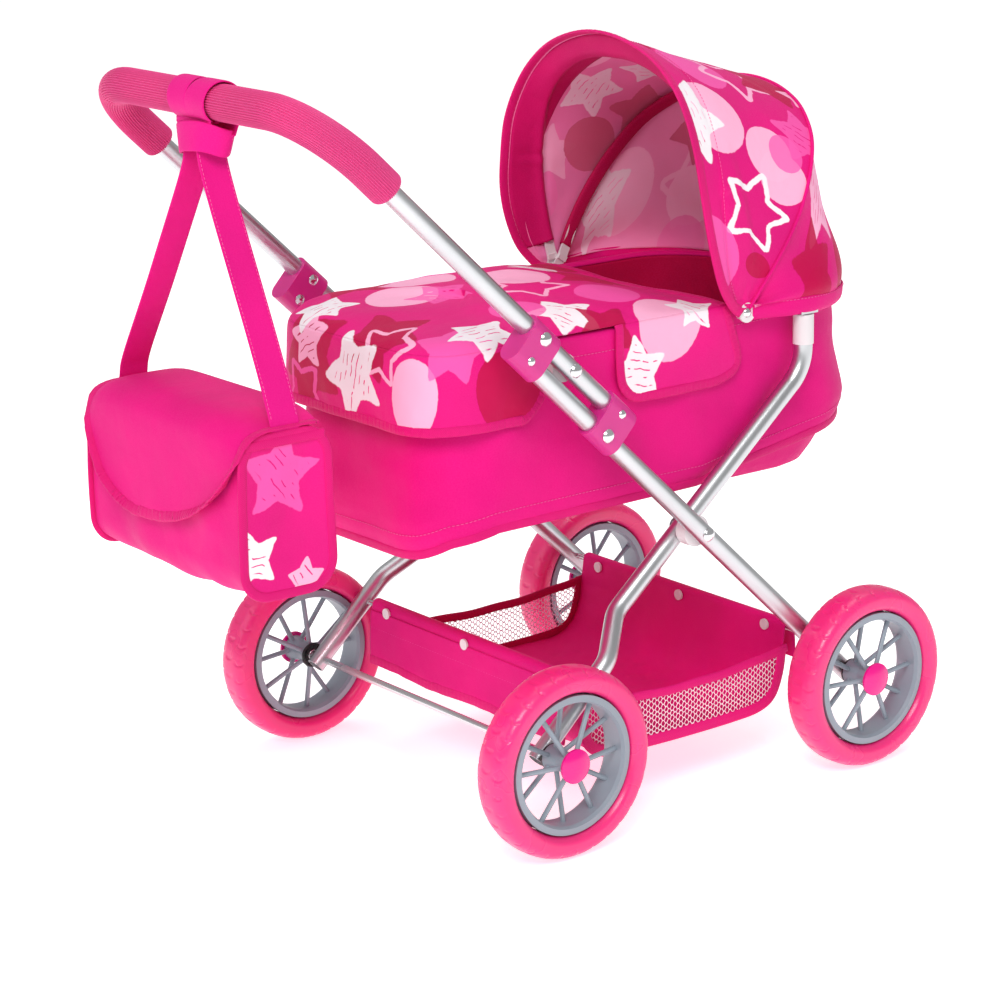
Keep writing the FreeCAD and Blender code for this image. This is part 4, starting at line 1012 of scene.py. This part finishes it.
FRONT_EDGE = both_sides([
    (69, 124.5, 384), (59, 127, 392), (47, 130, 408), (38, 131.2, 432), (33, 130, 456),
    (31, 126, 481), (30, 119, 512), (31, 107, 538), (32, 90, 560), (32, 64, 579),
    (31, 32, 590.5), (30.5, 0, 594.5)])
REAR_ARCH = both_sides(leaning([
    (124.0, 4), (127.0, 22), (130.0, 47), (129.3, 75), (125.0, 102), (117.0, 127),
    (104.5, 150), (86, 168.5), (64.5, 182), (34, 192.5), (0, 196.5)], REAR_LEAN))
REAR_ARCH[:, 0] += 4.5 * ease((REAR_ARCH[:, 2] - 400) / 60)
HEM_LINE = both_sides([(80, 124.5, 386), (100, 128.5, 386), (117, 132.8, 386), (134, 134.6, 386),
                       (150, 133, 386), (170, 125.5, 386), (189, 111.5, 386), (205, 87, 386),
                       (213.5, 50, 386), (216, 0, 386)])
ridge = np.linspace(-1, 1, N_ARCH)


def hood_front():
    """Front panel: straight lines from the front edge to the rear bow, drawn in a
    little between them, with slack near the hinges."""
    s = np.linspace(0, 1, 64)
    p = FRONT_EDGE[:, None] * (1 - s[None, :, None]) + REAR_ARCH[:, None] * s[None, :, None]
    n = normals(p)
    n *= np.sign((n * (p - [110, 0, 430])).sum(-1, keepdims=True))
    low = ease((470 - p[..., 2]) / 90)
    amount = -3.2 * (4 * s * (1 - s))[None] * np.abs(ridge)[:, None] ** 0.5
    amount = amount + ripple(p, 60, 51, 0.9) * np.sin(np.pi * s)[None]
    amount += 1.6 * low * np.sin(s * 9 + 2.2)[None] * np.sin(np.pi * s)[None]
    # the seam of the bow's sleeve draws the cloth in
    amount -= 0.8 * np.exp(-((s[None] - 0.16) / 0.02) ** 2)
    return p + n * amount[..., None], n


def hood_back():
    """Back panel: from the rear bow down to the hem, hollow in its upper part."""
    t = np.linspace(0, 1, 60)
    p = REAR_ARCH[:, None] * (1 - t[None, :, None]) + HEM_LINE[:, None] * t[None, :, None]
    out = unit((p - HINGE) * [0.45, 1.0, 0.15])
    out = np.where(np.abs(p[..., 1:2]) < 90, unit(out * [1, 0.5, 1]), out)
    hollow = np.sin(np.pi * t) - 1.9 * np.sin(np.pi * t ** 3.2)
    far_up = 1 - 0.35 * np.abs(ridge) ** 1.2
    amount = -4.2 * hollow[None] * far_up[:, None]
    amount = amount + ripple(p, 55, 61, 1.5) * np.sin(np.pi * t)[None]
    gathers = np.sin(np.arange(N_ARCH) / 5.2)[:, None] * ease(np.abs(ridge)[:, None] * 3)
    amount += 1.1 * gathers * (ease((t - 0.45) * 2.2) * (1 - t * 0.35))[None]
    return p + out * amount[..., None], out


def across_uv(p):
    """UV in metres: length across from the middle, and length down from the edge."""
    u = run_of(p[:, p.shape[1] // 3])
    v = np.stack([run_of(row) for row in p])
    u = np.broadcast_to((u - u[-1] / 2)[:, None], v.shape)
    return np.stack([u, v], -1) / 1000


BOW_EYE = 70     # height above the hinges, along a bow, that its directions are seen from
REAR_DIR = np.array([np.sin(REAR_LEAN), 0, np.cos(REAR_LEAN)])
FRONT_DIR = unit(np.array([-0.16, 0, 0.987]))


def bow_line(node, lean, toward):
    """Middle line of a bow, read from its solid: in the bow's plane, the mean distance
    of its surface from a point above the hinges, for each direction; taken at the
    directions of the given cloth points."""
    along = np.array([np.sin(lean), 0, np.cos(lean)])
    solid = node_object(node)
    v = np.array([tuple(solid.matrix_world @ c.co) for c in solid.data.vertices]) * 1000
    v -= [WHEELS_MID * 1000, 0, 0]

    def polar(q):
        high = ((q - HINGE) @ along) - BOW_EYE
        angle = np.arctan2(high, q[:, 1])
        return np.where(angle < -np.pi / 2, angle + TURN, angle), np.hypot(high, q[:, 1])

    angle, far = polar(v)
    count, edges = np.histogram(angle, 90)
    total, _ = np.histogram(angle, edges, weights=far)
    full = count > 0
    mid = ((edges[1:] + edges[:-1]) / 2)[full]
    at = np.clip(polar(toward)[0], mid[0], mid[-1])
    r = np.interp(at, mid, total[full] / count[full])
    return HINGE + along * (BOW_EYE + r * np.sin(at))[:, None] + LEFT * (r * np.cos(at))[:, None]


def over_bow(p, n, rail, clear=3.2):
    """Cloth moved out where it would lie below a bow and the sleeve round it."""
    near = np.array([[np.argmin(((rail - q) ** 2).sum(-1)) for q in row] for row in p])
    away = p - rail[near]
    height = (away * n).sum(-1)
    side = np.sqrt(np.maximum((away ** 2).sum(-1) - height ** 2, 0))
    lift = np.clip(clear - height, 0, 9) * (1 - ease((side - 6) / 10))
    return p + n * lift[..., None]


front, front_out = hood_front()
front_rail = bow_line("front_bow", np.radians(-9), front[:, 12])
front = over_bow(front, front_out, front_rail)
canopy = panel("hood_canopy", front, 0.8, None, "hood_cloth", [HOOD_PRINT, HOOD_INSIDE_BACKLIT],
               "hood_front_panel", -1.0, uv=across_uv(front), flip=True)
back, back_out = hood_back()
canopy_back = panel("hood_back", back, 0.8, None, "hood_cloth", [BACK_PRINT, BACK_INSIDE_BACKLIT],
                    "hood_back_panel", -1.0, uv=across_uv(back), flip=True)
front_edge_tape = binding("hood_edge_tape", front[:, 0], front_out[:, 2], 1, None, "hood_cloth",
                          TAPE, 8.5, 2.8)

# the front bow's sleeve: a band hung between two lines of the panel, round the bow
in_plane = unit(front_rail - (HINGE + FRONT_DIR * 70))
ahead_of = np.cross(in_plane, unit(np.gradient(front_rail, axis=0)))
ahead_of *= -np.sign(ahead_of[:, :1])
posts = np.stack([front[:, 1] - front_out[:, 1], front_rail + ahead_of * 6.5 - in_plane,
                  front_rail - in_plane * 6.8, front_rail - ahead_of * 6.5 - in_plane,
                  front[:, 19] - front_out[:, 19]], 1)
at = np.linspace(0, 4, 27)
k = np.minimum(at.astype(int), 3)
part = (at - k)[None, :, None]
bow_pocket = posts[:, k] * (1 - part) + posts[:, k + 1] * part
for _ in range(4):
    bow_pocket[:, 1:-1] = (bow_pocket[:, :-2] + 2 * bow_pocket[:, 1:-1] + bow_pocket[:, 2:]) / 4
cut = slice(10, N_ARCH - 10)
pocket = panel("front_bow_pocket", bow_pocket[cut], 0.7, None, "hood_cloth",
               [plain_cloth("crimson_pocket", (0.60, 0.002, 0.12))],
               uv=across_uv(bow_pocket)[cut], flip=True)
seam_at = front_out[6:-6, 11]
pocket_seam = stitches("hood_pocket_stitches", front[6:-6, 11] + seam_at * 0.3, seam_at, None,
                       pitch=3.0)
seam_out = unit(front_out[:, -1] + back_out[:, 0])
rear_piping = strand("rear_bow_piping", REAR_ARCH + seam_out * 0.6, seam_out, ring(1.5, 10), None,
                     "hood_cloth", CLOTH)
rear_rail = bow_line("rear_bow", REAR_LEAN, REAR_ARCH)[7:-7]
strand("rear_bow_ribbon", rear_rail, REAR_DIR[[2, 1, 0]] * [1, 1, -1], lens(12.0, 4.6, 20, 3.0),
       "rear_hoop", "hood_cloth", UNDER)
hem_grid = np.stack([HEM_LINE + UP * z for z in (2.5, 0, -5, -9)]
                    + [HEM_LINE * [0.99, 0.99, 1] - UP * 12.5], 1)
drift = unit(HEM_LINE * ON_FLOOR - HINGE * ON_FLOOR)
hem_grid += drift[:, None] * np.array([0.9, 1.0, 0.7, 0.0, -1.5])[None, :, None]
hem_band = surface("hood_hem_band", hem_grid)
thicken(hem_band, 1.2)
mod = hem_band.modifiers.new("smooth", "SUBSURF")
mod.levels = mod.render_levels = 1
finish(hem_band, "cot", "hood_cloth", CLOTH)
hem_stitches = stitches("hood_hem_stitches", HEM_LINE + drift * 1.7 + UP, drift, "cot")
cloth(canopy, front)
cloth(canopy_back, back)
for piece in (canopy, front_edge_tape, pocket, pocket_seam):
    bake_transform(piece)
for piece in (canopy_back, rear_piping):
    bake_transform(piece)


# -------------------------------------------------------------- the basket
FRONT_ROD, REAR_ROD = [
    np.array([middle(node, 0) - WHEELS_MID, 0, middle(node, 2)]) * 1000
    for node in ("front_basket_rod", "rear_basket_rod")]
HALF_BASKET = 130.5


def sling_line(sag):
    """The sling's line seen from the side, from the loose end behind the rear rod,
    over it, down and along the floor, up over the front rod and down in front."""
    rx, rz, fx, fz = REAR_ROD[0], REAR_ROD[2], FRONT_ROD[0], FRONT_ROD[2]
    points = [(rx - 8.5, 74), (rx - 7.6, 90), (rx - 6.6, 106), (rx - 5.4, rz), (rx - 3.6, rz + 4.2),
              (rx, rz + 5.7), (rx + 4.0, rz + 3.8), (rx + 5.6, rz - 4), (rx + 6.4, 96),
              (rx + 8.5, 78), (rx + 14, 61 - sag * 0.3), (rx + 30, 52 - sag * 0.6),
              (rx + 62, 50 - sag), (0, 49 - sag), (fx - 62, 49.5 - sag),
              (fx - 34, 51.5 - sag * 0.6), (fx - 19, 59 - sag * 0.3), (fx - 11, 76),
              (fx - 7.5, 96), (fx - 5.6, fz - 5), (fx - 4.0, fz + 3.8), (fx, fz + 5.7),
              (fx + 4, fz + 3.8), (fx + 5.7, fz - 5), (fx + 6.6, 96), (fx + 6.2, 86)]
    return curve([(x, 0, z) for x, z in points], 340)


across = np.linspace(-1, 1, 150)
sling = np.stack([sling_line(4.5 * (1 - y ** 4)) for y in across], 1)
sling[..., 1] = across[None] * HALF_BASKET
edge_wave = ease((92 - sling[..., 2]) / 25)
sling[..., 2] += (ripple(sling, 55, 71, 2.0) + ripple(sling, 22, 72, 0.35)) * edge_wave
sling[..., 0] += ripple(sling, 45, 73, 0.9) * edge_wave
basket = panel("basket_sling_cloth", sling, 0.9, "push_frame", "basket_cloth", [CLOTH],
               "basket_sling")
loose_skin = panel("basket_loose_end", sling[:34][::-1] + [-0.9, 0, 0], 0.9, "push_frame",
                   "basket_cloth", [CLOTH])
loose_tape = binding("basket_loose_end_tape", sling[0] + [-0.6, 0, 0], [-1.0, 0, 0.05], 1,
                     "push_frame", "basket_cloth", TAPE, 8.5)
for name, x, z, out in (("rear", REAR_ROD[0] - 8.0, 100, -1),
                        ("front", FRONT_ROD[0] + 7.1, 101, 1)):
    line = np.stack([np.full(60, x), np.linspace(-128, 128, 60), np.full(60, z)], 1)
    stitches("basket_seam_" + name, line, [float(out), 0, 0], "push_frame",
                            "basket_cloth")
cloth(basket, sling)


def net_side(name, sign, edge_mat):
    """Side of the basket: hexagonal net of twisted threads, cut to the sling's line,
    between a band along the bottom and a bound hem that sags between the rods."""
    y0 = sign * (HALF_BASKET + 0.6)
    line = sling_line(0.5)
    xs = line[:, 0]
    line = line[(line[:, 2] < 99) & (xs > REAR_ROD[0] + 3) & (xs < FRONT_ROD[0] - 3)]
    xs = line[:, 0]

    def hem_z(x):
        return 97 - 8.5 * (1 - ((x - 3) / 112) ** 2).clip(0)

    # zigzag threads: each runs along x and its neighbours touch it at the knots
    pitch, high = 3.1, 2.3
    rows = int(54 / high)
    verts, faces, base = [], [], 0
    n = int((FRONT_ROD[0] - REAR_ROD[0] - 8) / pitch * 8)
    x = np.linspace(REAR_ROD[0] + 4, FRONT_ROD[0] - 4, n)
    section = ring(0.36, 4)
    for k in range(rows):
        phase = TURN * x / (2 * pitch) + (k % 2) * np.pi
        wave = np.clip(1.6 * np.sin(phase), -1, 1) * high * 0.5
        z = 47 + k * high + wave + 0.4 * np.sin(x / 23 + k)
        bow = 1.3 * np.sin(np.pi * (x - xs.min()) / np.ptp(xs)) * np.sin(k / rows * np.pi)
        path = np.stack([x, np.full_like(x, y0) + sign * (bow + 0.15 * (-1) ** k), z], 1)
        inside = (z > np.interp(x, xs, line[:, 2]) + 0.5) & (z < hem_z(x) - 0.5)
        p = carried(path, UP, section)
        ci, cj = cells(n, 4, wrap_j=True)
        good = inside[ci[:, 0]] & inside[ci[:, 1]]
        f = (ci % n) * 4 + cj % 4
        verts.append(p.reshape(-1, 3))
        faces.append(f[good] + base)
        base += n * 4
    faces = np.concatenate(faces)
    used, faces = np.unique(faces, return_inverse=True)
    net = build(name, np.concatenate(verts)[used], faces.reshape(-1, 4))
    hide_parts("basket_side_" + ("left" if sign > 0 else "right"))
    finish(net, "push_frame", "mesh_cloth", NET)
    # bottom band, sewn to the sling's edge
    path = line + [0, y0, 0]
    up = np.cross(LEFT, across_of(path, LEFT)[0])
    up *= np.sign(up[len(path) // 2, 2])
    strand(name + "_band", path + up * 1.5 + [0, sign * 0.4, 0], up, lens(10, 2.0), "push_frame",
           "basket_cloth", edge_mat)
    hx = np.linspace(REAR_ROD[0] + 3.2, FRONT_ROD[0] - 3.2, 160)
    hem = np.stack([hx, y0 + sign * np.sin(np.pi * (hx + 108) / 222),
                    hem_z(hx) + 0.4 * np.sin(hx / 9)], 1)
    strand(name + "_hem", hem, UP, lens(7.5, 2.4), "push_frame", "basket_cloth", edge_mat)


# the far side's band and hem take the darker tape: painted shade inside the basket
for name, sign, mat in (("net_right", NEAR, TAPE), ("net_left", FAR, TAPE_SHADED)):
    net_side(name, sign, mat)


# ----------------------------------------------------------------- the bag
BAG_X, BAG_Y0, BAG_Y1 = BAR[0], -97.0, 113.0
BAG_LOW, BAG_TOP, BAG_HALF = 229.5, 364.0, 38.5


def bag_outline(n=200):
    """Rounded rectangle in the XZ plane, rounder at its foot, narrowing a little
    upwards; starts at the middle of the top and runs down the front (-X)."""
    a = np.linspace(0, np.pi / 2, 14)
    half, foot_r, top_r = BAG_HALF, 21.0, 20.0
    low, top_z = BAG_LOW, BAG_TOP
    s, c = np.sin(a), np.cos(a)
    front_top = np.stack([-(half - top_r) - top_r * s, top_z - top_r + top_r * c], 1)
    front_low = np.stack([-(half - foot_r) - foot_r * c, low + foot_r - foot_r * s], 1)
    side = np.vstack([[0, top_z], front_top, front_low, [0, low]])
    back = side[::-1][1:-1] * [-1, 1]
    p = even(np.vstack([side, back, side[:1]]), n + 1)[:-1]
    p[:, 0] *= 1 - 0.055 * (p[:, 1] - low) / (top_z - low)
    return p


def bag_body():
    """Sections set along Y: fuller in the middle, foot sagging, top drawn down
    between the straps."""
    y = np.linspace(0, 1, 110)
    y = BAG_Y0 + (BAG_Y1 - BAG_Y0) * (y + 0.035 * np.sin(-TURN * y) * 0.5)
    t = (2 * (y - BAG_Y0) / (BAG_Y1 - BAG_Y0) - 1)
    full = 1 - t ** 4
    sec = bag_outline()
    p = np.stack(np.broadcast_arrays(sec[None, :, 0], y[:, None], sec[None, :, 1]), -1)
    belly = np.sin(np.pi * ((sec[:, 1] - BAG_LOW) / (BAG_TOP - BAG_LOW)).clip(0, 1)) ** 0.7
    walls = np.sign(sec[:, 0]) * (abs(sec[:, 0]) > 20)
    p[..., 0] += 2.6 * full[:, None] * (belly * walls)[None]
    p[..., 2] -= (3.4 * full[:, None]) * ease((250 - sec[:, 1]) / 25)[None]
    p[..., 2] -= (4.0 * full + 17.0 * t ** 6)[:, None] * ease((sec[:, 1] - 290) / 60)[None]
    n = -unit(np.stack([-sec[:, 0], 0 * sec[:, 0], 296 - sec[:, 1]], 1))
    waves = ripple(p, 62, 81, 2.2) + ripple(p, 26, 82, 0.45)
    p += n[None] * (waves * (0.3 + 0.7 * full)[:, None])[..., None]
    p[..., 0] += BAG_X
    return p


body = bag_body()
panel("bag_body", body, 0.9, "bag", "bag_cloth", [CLOTH], "bag_pouch", wrap_j=True)


def gusset(k, sign):
    """End panel: the outline shrunk towards its middle, slack between, its UV map
    the panel's own (across, height)."""
    rim = body[k]
    centre = rim.mean(0)
    f = np.linspace(1, 0.0, 24)
    p = centre + (rim - centre)[None] * f[:, None, None]
    slack = 4.5 * (1 - f ** 2)
    waves = ripple(p, 45, 85, 1.4) * (1 - f ** 4)[:, None]
    p[..., 1] += sign * (1.0 - slack[:, None] * 0.35) + waves
    uv = np.stack([(p[..., 0] - BAG_X) * -sign, p[..., 2]], -1) / 1000
    side = "right" if sign < 0 else "left"
    panel("bag_gusset_" + side, p, 0.8, "bag", "bag_cloth", [BAG_PRINT], wrap_j=True,
          uv=round_again(uv), weld=True)
    out = unit((rim - centre) * [1, 0, 1])
    edge = rim + [0, sign * 1.0, 0]
    strand("bag_tape_" + side, edge + out * 0.6, out, lens(7.6, 2.8), "bag", "bag_cloth", TAPE,
           closed=True)


gusset(0, -1)
gusset(-1, 1)


def bag_flap():
    """Lid: from the back of the top, over it and down the front, its lower corners
    rounded by ending each column on the outline's arc."""
    y = np.linspace(BAG_Y0 + 1.5, BAG_Y1 - 1.5, 120)
    t = 2 * (y - y[0]) / np.ptp(y) - 1
    full = 1 - t ** 4
    into = np.maximum((132.0 - (y - y[0])) / 132.0, (72.0 - (y[-1] - y)) / 72.0).clip(0, 1)
    low = 274 + 70.0 * (1 - np.sqrt(1 - into ** 2))
    cols = []
    for swell, end_z in zip(full, low):
        top_z = BAG_TOP + 1.9 - 4.0 * swell - 13.0 * (1 - swell) ** 1.5
        x_front = BAG_X - BAG_HALF - 2.4 - 2.2 * swell
        points = [(BAG_X + 30, top_z - 1.0), (BAG_X + 22, top_z), (BAG_X, top_z + 0.3),
                  (BAG_X - 17, top_z - 0.2), (BAG_X - 29.0, top_z - 3.4),
                  (x_front + 4.6, top_z - 10.5), (x_front + 1.0, top_z - 21),
                  (x_front - 0.6, 318), (x_front - 1.6, 290), (x_front - 1.8, 262),
                  (x_front - 1.6, 250)]
        line = curve([(x, 0, z) for x, z in points], 160)
        cols.append(even(line[line[:, 2] > end_z], 90))
    p = np.stack(cols, 0)
    p[..., 1] = y[:, None]
    folds = 1.1 * np.sin(p[..., 1] / 17 + 0.6) * ease((320 - p[..., 2]) / 60)
    wave = ripple(p, 60, 91, 1.3) + folds
    hanging = ease((352 - p[..., 2]) / 30)
    p[..., 0] -= np.maximum(wave, -1.2) * hanging
    return p


lid = bag_flap()
lid_obj = panel("bag_flap_cloth", lid, 1.0, None, "bag_cloth", [CLOTH], "bag_flap")
lid_edge = np.concatenate([lid[0], lid[1:, -1], lid[-1, -2::-1]])
lid_out = np.tile([-1.0, 0, 0.12], (len(lid_edge), 1))     # changed in places below
over_top = lid_edge[:, 2] > 353
lid_out[over_top] = [-0.12, 0, 1.0]
lid_tape = binding("bag_flap_tape", lid_edge, unit(lid_out), 1, None, "bag_cloth", TAPE, 8.5, 2.6)
for piece in (lid_obj, lid_tape):
    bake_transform(piece)


KNOT_Y = -9.0
WEBBING = lens(25, 1.7, 22, 5.0)


def webbing_line(sign):
    """Webbing from a sewn box on the end panel up to the bar, leaning in, lying
    flat in X and twisting slightly."""
    foot = 8 + sign * 105.0
    points = [(foot - sign * 4.5, 302), (foot - sign * 3.5, 326), (foot + sign * 0.9, 346),
              (foot - sign * 0.2, 356), (foot - sign * 9, 378),
              (0.5 * (foot + KNOT_Y) + sign * 2.5, 452), (KNOT_Y + sign * 14, 528),
              (KNOT_Y + sign * 9, 550), (KNOT_Y + sign * 7, 562)]
    path = curve([(0, y, z) for y, z in points], 130)
    path[:, 0] = BAG_X + 1.5 * np.sin(np.linspace(0, 5, 130))
    return path


for side, sign in (("right", -1), ("left", 1)):
    line = webbing_line(sign)
    webbing = strand("bag_webbing_" + side, line, [1.0, 0, 0], WEBBING, "bag", "bag_cloth", STRAP)
    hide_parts("bag_strap_" + side)
    for edge in (-10.8, 10.8):
        stitches("bag_stitch_%s_%d" % (side, edge > 0), line[28:-10] + [edge, sign * 0.8, 0],
                 [0, float(sign), 0.2], "bag", "bag_cloth", 3.2)
    top = np.stack([np.linspace(BAG_X - 34, BAG_X + 34, 60), np.full(60, 8 + sign * 106.6),
                    np.full(60, 343.5)], 1)
    strand("bag_gusset_top_" + side, top, UP, lens(7.5, 2.6), "bag", "bag_cloth", TAPE)


def bar_loop(name, y, lean):
    """Webbing wound once round the foam, its ends brought together below."""
    a = np.linspace(-0.30, 1.30, 90) * np.pi
    r = 15.3
    ring_path = np.stack([r * np.cos(a), lean * (a - np.pi / 2) * 1.6, r * np.sin(a)], 1)
    left, right = ring_path[0], ring_path[-1]
    path = np.vstack([[5, left[1] - 1, -25], [9, left[1], -17], ring_path,
                      [-9, right[1], -17], [-5, right[1] + 1, -25]])
    path = even(path, 130) + [BAR[0], y, BAR[2]]
    strand(name, path, LEFT, WEBBING, "bag", "bag_cloth", STRAP)


bar_loop("bag_loop_right", -23, 1)
bar_loop("bag_loop_left", 6, -1)
a = np.linspace(0, TURN, 140, endpoint=False)
c, s = np.cos(a), np.sin(a)
knot_path = np.stack([BAR[0] + 15.0 * c, KNOT_Y + 25 * np.sign(s) * abs(s) ** 0.8,
                      BAR[2] - 27 + 3.0 * np.sin(a * 2 + 0.8)], 1)
knot_lean = np.stack([0.10 + 0 * a, 0.42 * s, 1 + 0 * a], 1)
knot = strand("bag_knot_band", knot_path, knot_lean, lens(22, 2.2, 22, 5.0), "bag", "bag_cloth",
              STRAP, closed=True)
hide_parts("bag_strap_wrap")
cloth(lid_obj, lid)


# ----------------------------------------------------- studio and camera
tiles = np.linspace(-9000, 9000, 3)
tiles = np.stack(np.meshgrid(tiles, tiles, indexing="ij") + [np.full((3, 3), -0.3)], -1)
floor_obj = surface("studio_floor", tiles)
floor_obj.data.materials.append(Finish("studio_white").set(
    Base_Color=(0.93, 0.93, 0.93), Roughness=0.9, Specular_IOR_Level=0.1,
    Emission_Color=(1.0, 1.0, 1.0), Emission_Strength=0.62))
floor_obj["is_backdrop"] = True

world = bpy.data.worlds.new("studio")
bpy.context.scene.world = world
world.use_nodes = True
sky = world.node_tree.nodes["Background"].inputs
sky["Color"].default_value, sky["Strength"].default_value = (1, 1, 1, 1), 0.42
bpy.context.scene.view_settings.view_transform = "Standard"


def lamp(name, place, target, size, power):
    """Square soft light aimed at a point, metres."""
    light = bpy.data.lights.new(name, "AREA")
    light.shape, light.size, light.energy = "SQUARE", size, power
    obj = bpy.data.objects.new(name, light)
    bpy.context.scene.collection.objects.link(obj)
    way = (Vector(target) - Vector(place)).normalized()
    facing = way.to_track_quat("-Z", "Y").to_matrix().to_4x4()
    obj.matrix_world = Matrix.Translation(place) @ facing


lamp("key", (-1.9, -2.0, 2.7), (0, 0, 0.3), 1.5, 74)
lamp("fill", (-2.6, 1.2, 1.8), (0, 0, 0.3), 2.0, 14)
lamp("top", (0.6, 0.5, 3.0), (0, 0, 0.2), 2.0, 26)

yaw, pitch, roll = np.radians([37.22, 15.37, -1.08])
ahead = np.array([np.sin(yaw) * np.cos(pitch), np.cos(yaw) * np.cos(pitch), -np.sin(pitch)])
level = np.array([np.cos(yaw), -np.sin(yaw), 0])
upright = np.cross(level, ahead)
right = np.cos(roll) * level + np.sin(roll) * upright
up = -np.sin(roll) * level + np.cos(roll) * upright
lens_data = bpy.data.cameras.new("camera")
lens_data.lens, lens_data.sensor_width, lens_data.clip_end = 109.2, 36, 60
camera = bpy.data.objects.new("camera", lens_data)
bpy.context.scene.collection.objects.link(camera)
camera_at = [-1.42325, -1.8730, 0.8764]
camera.matrix_world = Matrix([[*map(float, r)] for r in np.vstack([
    np.column_stack([right, up, -ahead, camera_at]), [0, 0, 0, 1]])])
bpy.context.scene.camera = camera

# ------------------------------------------------------------------ sizes
bpy.context.view_layer.update()
graph = bpy.context.evaluated_depsgraph_get()
low, high = np.full(3, 1e9), np.full(3, -1e9)
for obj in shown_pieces():
    seen = obj.evaluated_get(graph)
    box = np.array([list(seen.matrix_world @ Vector(c)) for c in seen.bound_box])
    low, high = np.minimum(low, box.min(0)), np.maximum(high, box.max(0))
